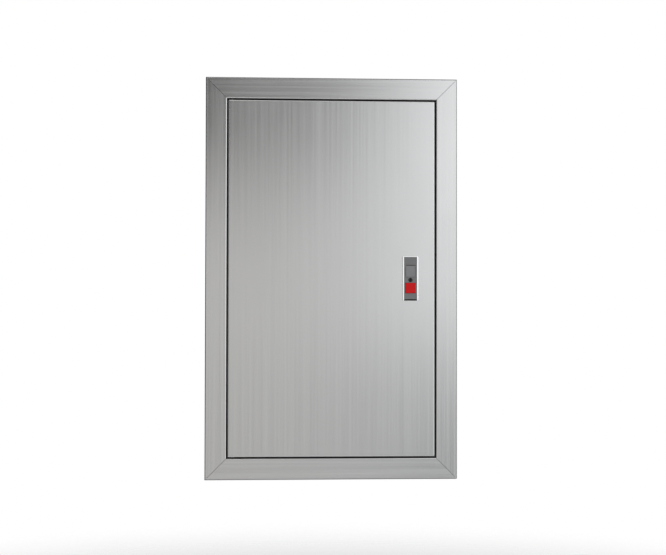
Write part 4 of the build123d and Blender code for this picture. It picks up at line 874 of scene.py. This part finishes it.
panelWires = {"radius": 1.1, "runs": (
    ("mains_wire_live", "brownSheath", "wire_black",
     ((-157.8, -31, 23), (-157.8, -33.5, 17), (-154.5, -33.5, 13), (-154.5, -31, 8))),
    ("mains_wire_neutral", "blueSheath", "wire_black",
     ((-143.2, -31, 23), (-143.2, -33.5, 17), (-143, -33.5, 13), (-143, -31, 8))),
    ("mains_wire_earth", "earthSheath", "terminal_green",
     ((-128.8, -31, 23), (-128.8, -33.5, 17), (-131, -33.5, 13), (-131, -31, 8))),
    ("earth_stud_wire", "earthSheath", "terminal_green",
     ((-114.2, -31, 43), (-114.2, -33, 52), (-110, -31, 60), (-97, -27, 62), (-86, -25, 56),
      (-82, -24, 49), (-82, -23.2, 42))),
    ("board_supply_positive", "redSheath", "wire_red",
     ((-109, -30, -147), (-109, -33, -156), (-104, -35, -162), (-80, -35, -163),
      (-50, -34, -162.5), (-31, -33, -161), (-25, -32.5, -156), (-25, -32.5, -147))),
    ("board_supply_negative", "blackSheath", "wire_black",
     ((-97.7, -31, -147), (-97.7, -36, -154), (-93, -38, -158.5), (-70, -38, -159.5),
      (-45, -37, -159.5), (-26, -35, -158.5), (-20, -32.5, -154), (-20, -32.5, -147))))}


def addPanelWires():
    for name, finish, slot, route in panelWires["runs"]:
        finishPiece(addWire(name, route, panelWires["radius"]), finish, angle=60)
    tag = addRod((-82, -23, 34), "Y", 4.6, 0.9, 24, 0.15)
    barrel = addRod((-82, -23, 41), "Z", 1.7, 6.5, 16, 0.3)
    finishPiece(joinAs("earth_wire_tag", [tag, barrel]), "tinned")


addBatteryLeads()
addRibbon()
addPanelWires()
print("wiring laid")


# operator panel: zone numbers and blank label windows

legends = {"face": -116.0, "numberX": 37.0, "size": 6.2, "zones": 8, "topZ": 274.0, "pitch": 10.0,
           "window": (69.0, 87.0), "windowTall": 7.4, "statusX": (96, 110, 124,
                                                                  138), "statusZ": 209.0,
           "alarm": (117.0, 248.0, 13.0, 3.4)}


def addLegends():
    g = legends
    numbers = []
    for i in range(g["zones"]):
        z = g["topZ"] - i * g["pitch"] - g["size"] * 0.36
        deselectAll()
        bpy.ops.object.text_add(location=(g["numberX"] * mm, (g["face"] - 0.06) * mm, z * mm),
                                rotation=(math.pi / 2, 0, 0))
        number = bpy.context.active_object
        number.data.body, number.data.size = str(i + 1), g["size"] * mm
        number.data.align_x, number.data.extrude = "CENTER", 0.05 * mm
        bpy.ops.object.convert(target="MESH")
        numbers.append(settle(bpy.context.active_object))
    finishPiece(joinAs("zone_numbers", numbers), "legend")
    low, high = g["window"]
    windows = []
    for i in range(g["zones"]):
        z = g["topZ"] - i * g["pitch"]
        windows.append(addBlock((low, g["face"] - 0.7, z - g["windowTall"] / 2),
                                (high, g["face"], z + g["windowTall"] / 2), 0.3, 2))
    small = [(x, g["statusZ"], 6.0, 2.6) for x in g["statusX"]] + [g["alarm"]]
    for x, z, wide, tall in small:
        windows.append(addBlock((x - wide, g["face"] - 0.5, z - tall),
                                (x + wide, g["face"], z + tall), 0.2, 2))
    finishPiece(joinAs("label_windows", windows), "label")


addLegends()


# weld spots along the door's channels

weldSpots = {"radius": 2.6, "proud": 0.35, "pitch": 48.0, "each": 6, "inset": 4.0}


def addWeldSpots():
    low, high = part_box("door_stiffeners")
    depth = low.y / mm + 1.2
    spot = addRod((0, depth - weldSpots["proud"] / 2 + 0.3, 0), "Y", weldSpots["radius"],
                  weldSpots["proud"], 16, 0.12)
    edges = (low.x / mm, low.x / mm + 40, high.x / mm - 40, high.x / mm)
    spots = []
    for edge, side in zip(edges, (1, -1, 1, -1)):
        for i in range(-weldSpots["each"], weldSpots["each"] + 1):
            spots.append(copyBy(spot, edge + side * weldSpots["inset"], 0, i * weldSpots["pitch"]))
    bpy.data.objects.remove(spot)
    finishPiece(joinAs("channel_weld_spots", spots), "zinc", "door")


addWeldSpots()
print("panel and door details added")


# return spring of the lock button (in the real lock it shortens as the button goes in)

buttonSpring = {"turns": 5.0, "steps": 20, "wire": 0.35, "travel": 3.0, "clear": 0.05}


def addButtonSpring():
    low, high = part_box("lock_button_spring")
    centre, radius = (low + high) / 2 / mm, (high.x - low.x) / 2 / mm - buttonSpring["wire"]
    front, back = low.y / mm + buttonSpring["wire"], high.y / mm - buttonSpring["wire"]
    count = int(buttonSpring["turns"] * buttonSpring["steps"])
    route = []
    for i in range(count + 1):
        angle = 2 * math.pi * i / buttonSpring["steps"]
        y = front + (back - front) * i / count
        route.append((centre.x + radius * math.cos(angle), y, centre.z + radius * math.sin(angle)))
    coil = finishPiece(addWire("button_spring_coil", route, buttonSpring["wire"]), "spring",
                       "door", 60)
    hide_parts("lock_button_spring")
    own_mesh(coil)


addButtonSpring()
print("lock spring wound")


# camera, light and floor

studio = {"distance": 2.5, "across": -0.132, "height": -0.047, "turn": -3.08, "tilt": 1.11,
          "roll": -0.10,
          "lens": 68.3, "floorDrop": 0.55, "floorReach": 2.6}


def addCamera():
    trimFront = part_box("frame_lock_rail")[0].y
    data = bpy.data.cameras.new("studioCamera")
    data.lens, data.sensor_width = studio["lens"], 36.0
    camera = bpy.data.objects.new("studioCamera", data)
    bpy.context.scene.collection.objects.link(camera)
    camera.location = (studio["across"], trimFront - studio["distance"], studio["height"])
    turns = (90 + studio["tilt"], studio["roll"], studio["turn"])
    camera.rotation_euler = [math.radians(a) for a in turns]
    bpy.context.scene.camera = camera


room = {"high": (0.0, 0.20, 1.40), "middle": (0.73, 0.72, 1.3), "low": (0.55, 0.56, 0.42),
        "spanX": (-0.05, 0.16), "spanZ": (-0.10, 0.03, 0.19),
        "above": 0.75, "below": 0.65, "left": 0.30, "right": 2.0,
        "warm": (1.0, 0.985, 0.965), "cool": (0.975, 0.99, 1.0)}


def addWorld():
    # white behind the object; for light, a room seen in the steel: dark high at the left, bright at the right
    world = bpy.data.worlds.new("softStudio")
    bpy.context.scene.world = world
    world.use_nodes = True
    tree = world.node_tree
    tree.nodes.clear()
    direction = addNode(tree, "ShaderNodeTexCoord").outputs["Generated"]
    axes = addNode(tree, "ShaderNodeSeparateXYZ", {"Vector": direction}).outputs
    left, right = room["spanX"]
    middle = (left + right) / 2
    rows = []
    for row in ("low", "middle", "high"):
        first, second, third = room[row]
        near = smoothStep(tree, axes["X"], left, middle, first, second)
        rows.append(calc(tree, "ADD", near, smoothStep(tree, axes["X"], middle, right, 0.0,
                                                       third - second)))
    bottom, centre, top = room["spanZ"]
    lift = smoothStep(tree, axes["Z"], bottom, centre)
    front = addNode(tree, "ShaderNodeMix", {"Factor": lift, "A": rows[0], "B": rows[1]}).outputs[0]
    lift = smoothStep(tree, axes["Z"], centre, top)
    front = addNode(tree, "ShaderNodeMix", {"Factor": lift, "A": front, "B": rows[2]}).outputs[0]
    around = smoothStep(tree, axes["Z"], -0.5, 0.6, room["below"], room["above"])
    shaded = smoothStep(tree, axes["X"], -0.7, 0.1, room["left"], 1.0)
    window = smoothStep(tree, axes["X"], 0.45, 0.8, 1.0, room["right"])
    around = calc(tree, "MULTIPLY", around, calc(tree, "MULTIPLY", shaded, window))
    facing = smoothStep(tree, calc(tree, "MULTIPLY", axes["Y"], -1.0), 0.86, 0.96)
    level = addNode(tree, "ShaderNodeMix", {"Factor": facing, "A": around, "B": front}).outputs[0]
    tint = mixColour(tree, smoothStep(tree, axes["X"], left, right), room["warm"], room["cool"])
    soft = addNode(tree, "ShaderNodeBackground", {"Color": tint, "Strength": level})
    plain = addNode(tree, "ShaderNodeBackground", {"Color": (1.0, 1.0, 1.0), "Strength": 1.0})
    seen = addNode(tree, "ShaderNodeLightPath").outputs["Is Camera Ray"]
    both = addNode(tree, "ShaderNodeMixShader")
    feed(tree, seen, both.inputs[0])
    feed(tree, soft.outputs[0], both.inputs[1])
    feed(tree, plain.outputs[0], both.inputs[2])
    out = addNode(tree, "ShaderNodeOutputWorld")
    tree.links.new(both.outputs[0], out.inputs["Surface"])


def addFloor():
    # pale floor well below the cabinet, fading out at its rim
    low = cadBox[0]
    level = low.z - studio["floorDrop"]
    deselectAll()
    bpy.ops.mesh.primitive_circle_add(vertices=96, radius=studio["floorReach"], fill_type="NGON",
                                      location=(0, 0, level))
    floor = bpy.context.active_object
    floor.name = "studioFloor"
    material, tree, shader, place = startFinish("floorPale", Roughness=0.8)
    shader.inputs["Base Color"].default_value = (0.90, 0.90, 0.90, 1)
    flat = addNode(tree, "ShaderNodeVectorMath", operation="LENGTH")
    feed(tree, place, flat.inputs[0])
    fade = smoothStep(tree, flat.outputs["Value"], studio["floorReach"] * 0.45,
                      studio["floorReach"] * 0.98,
                      1.0, 0.0)
    feed(tree, fade, shader.inputs["Alpha"])
    floor.data.materials.append(material)


def addLamp(name, place, aim, size, power):
    data = bpy.data.lights.new(name, "AREA")
    data.shape, data.size, data.energy = "DISK", size, power
    lamp = bpy.data.objects.new(name, data)
    bpy.context.scene.collection.objects.link(lamp)
    lamp.location = place
    lamp.rotation_euler = (Vector(aim) - Vector(place)).to_track_quat("-Z", "Y").to_euler()


addCamera()
addWorld()
addFloor()
addLamp("overheadSoftbox", (-1.0, -2.2, 2.6), (0, 0, 0), 1.6, 8.0)
view = bpy.context.scene.view_settings
view.view_transform, view.look = "Standard", "None"
print("studio ready")
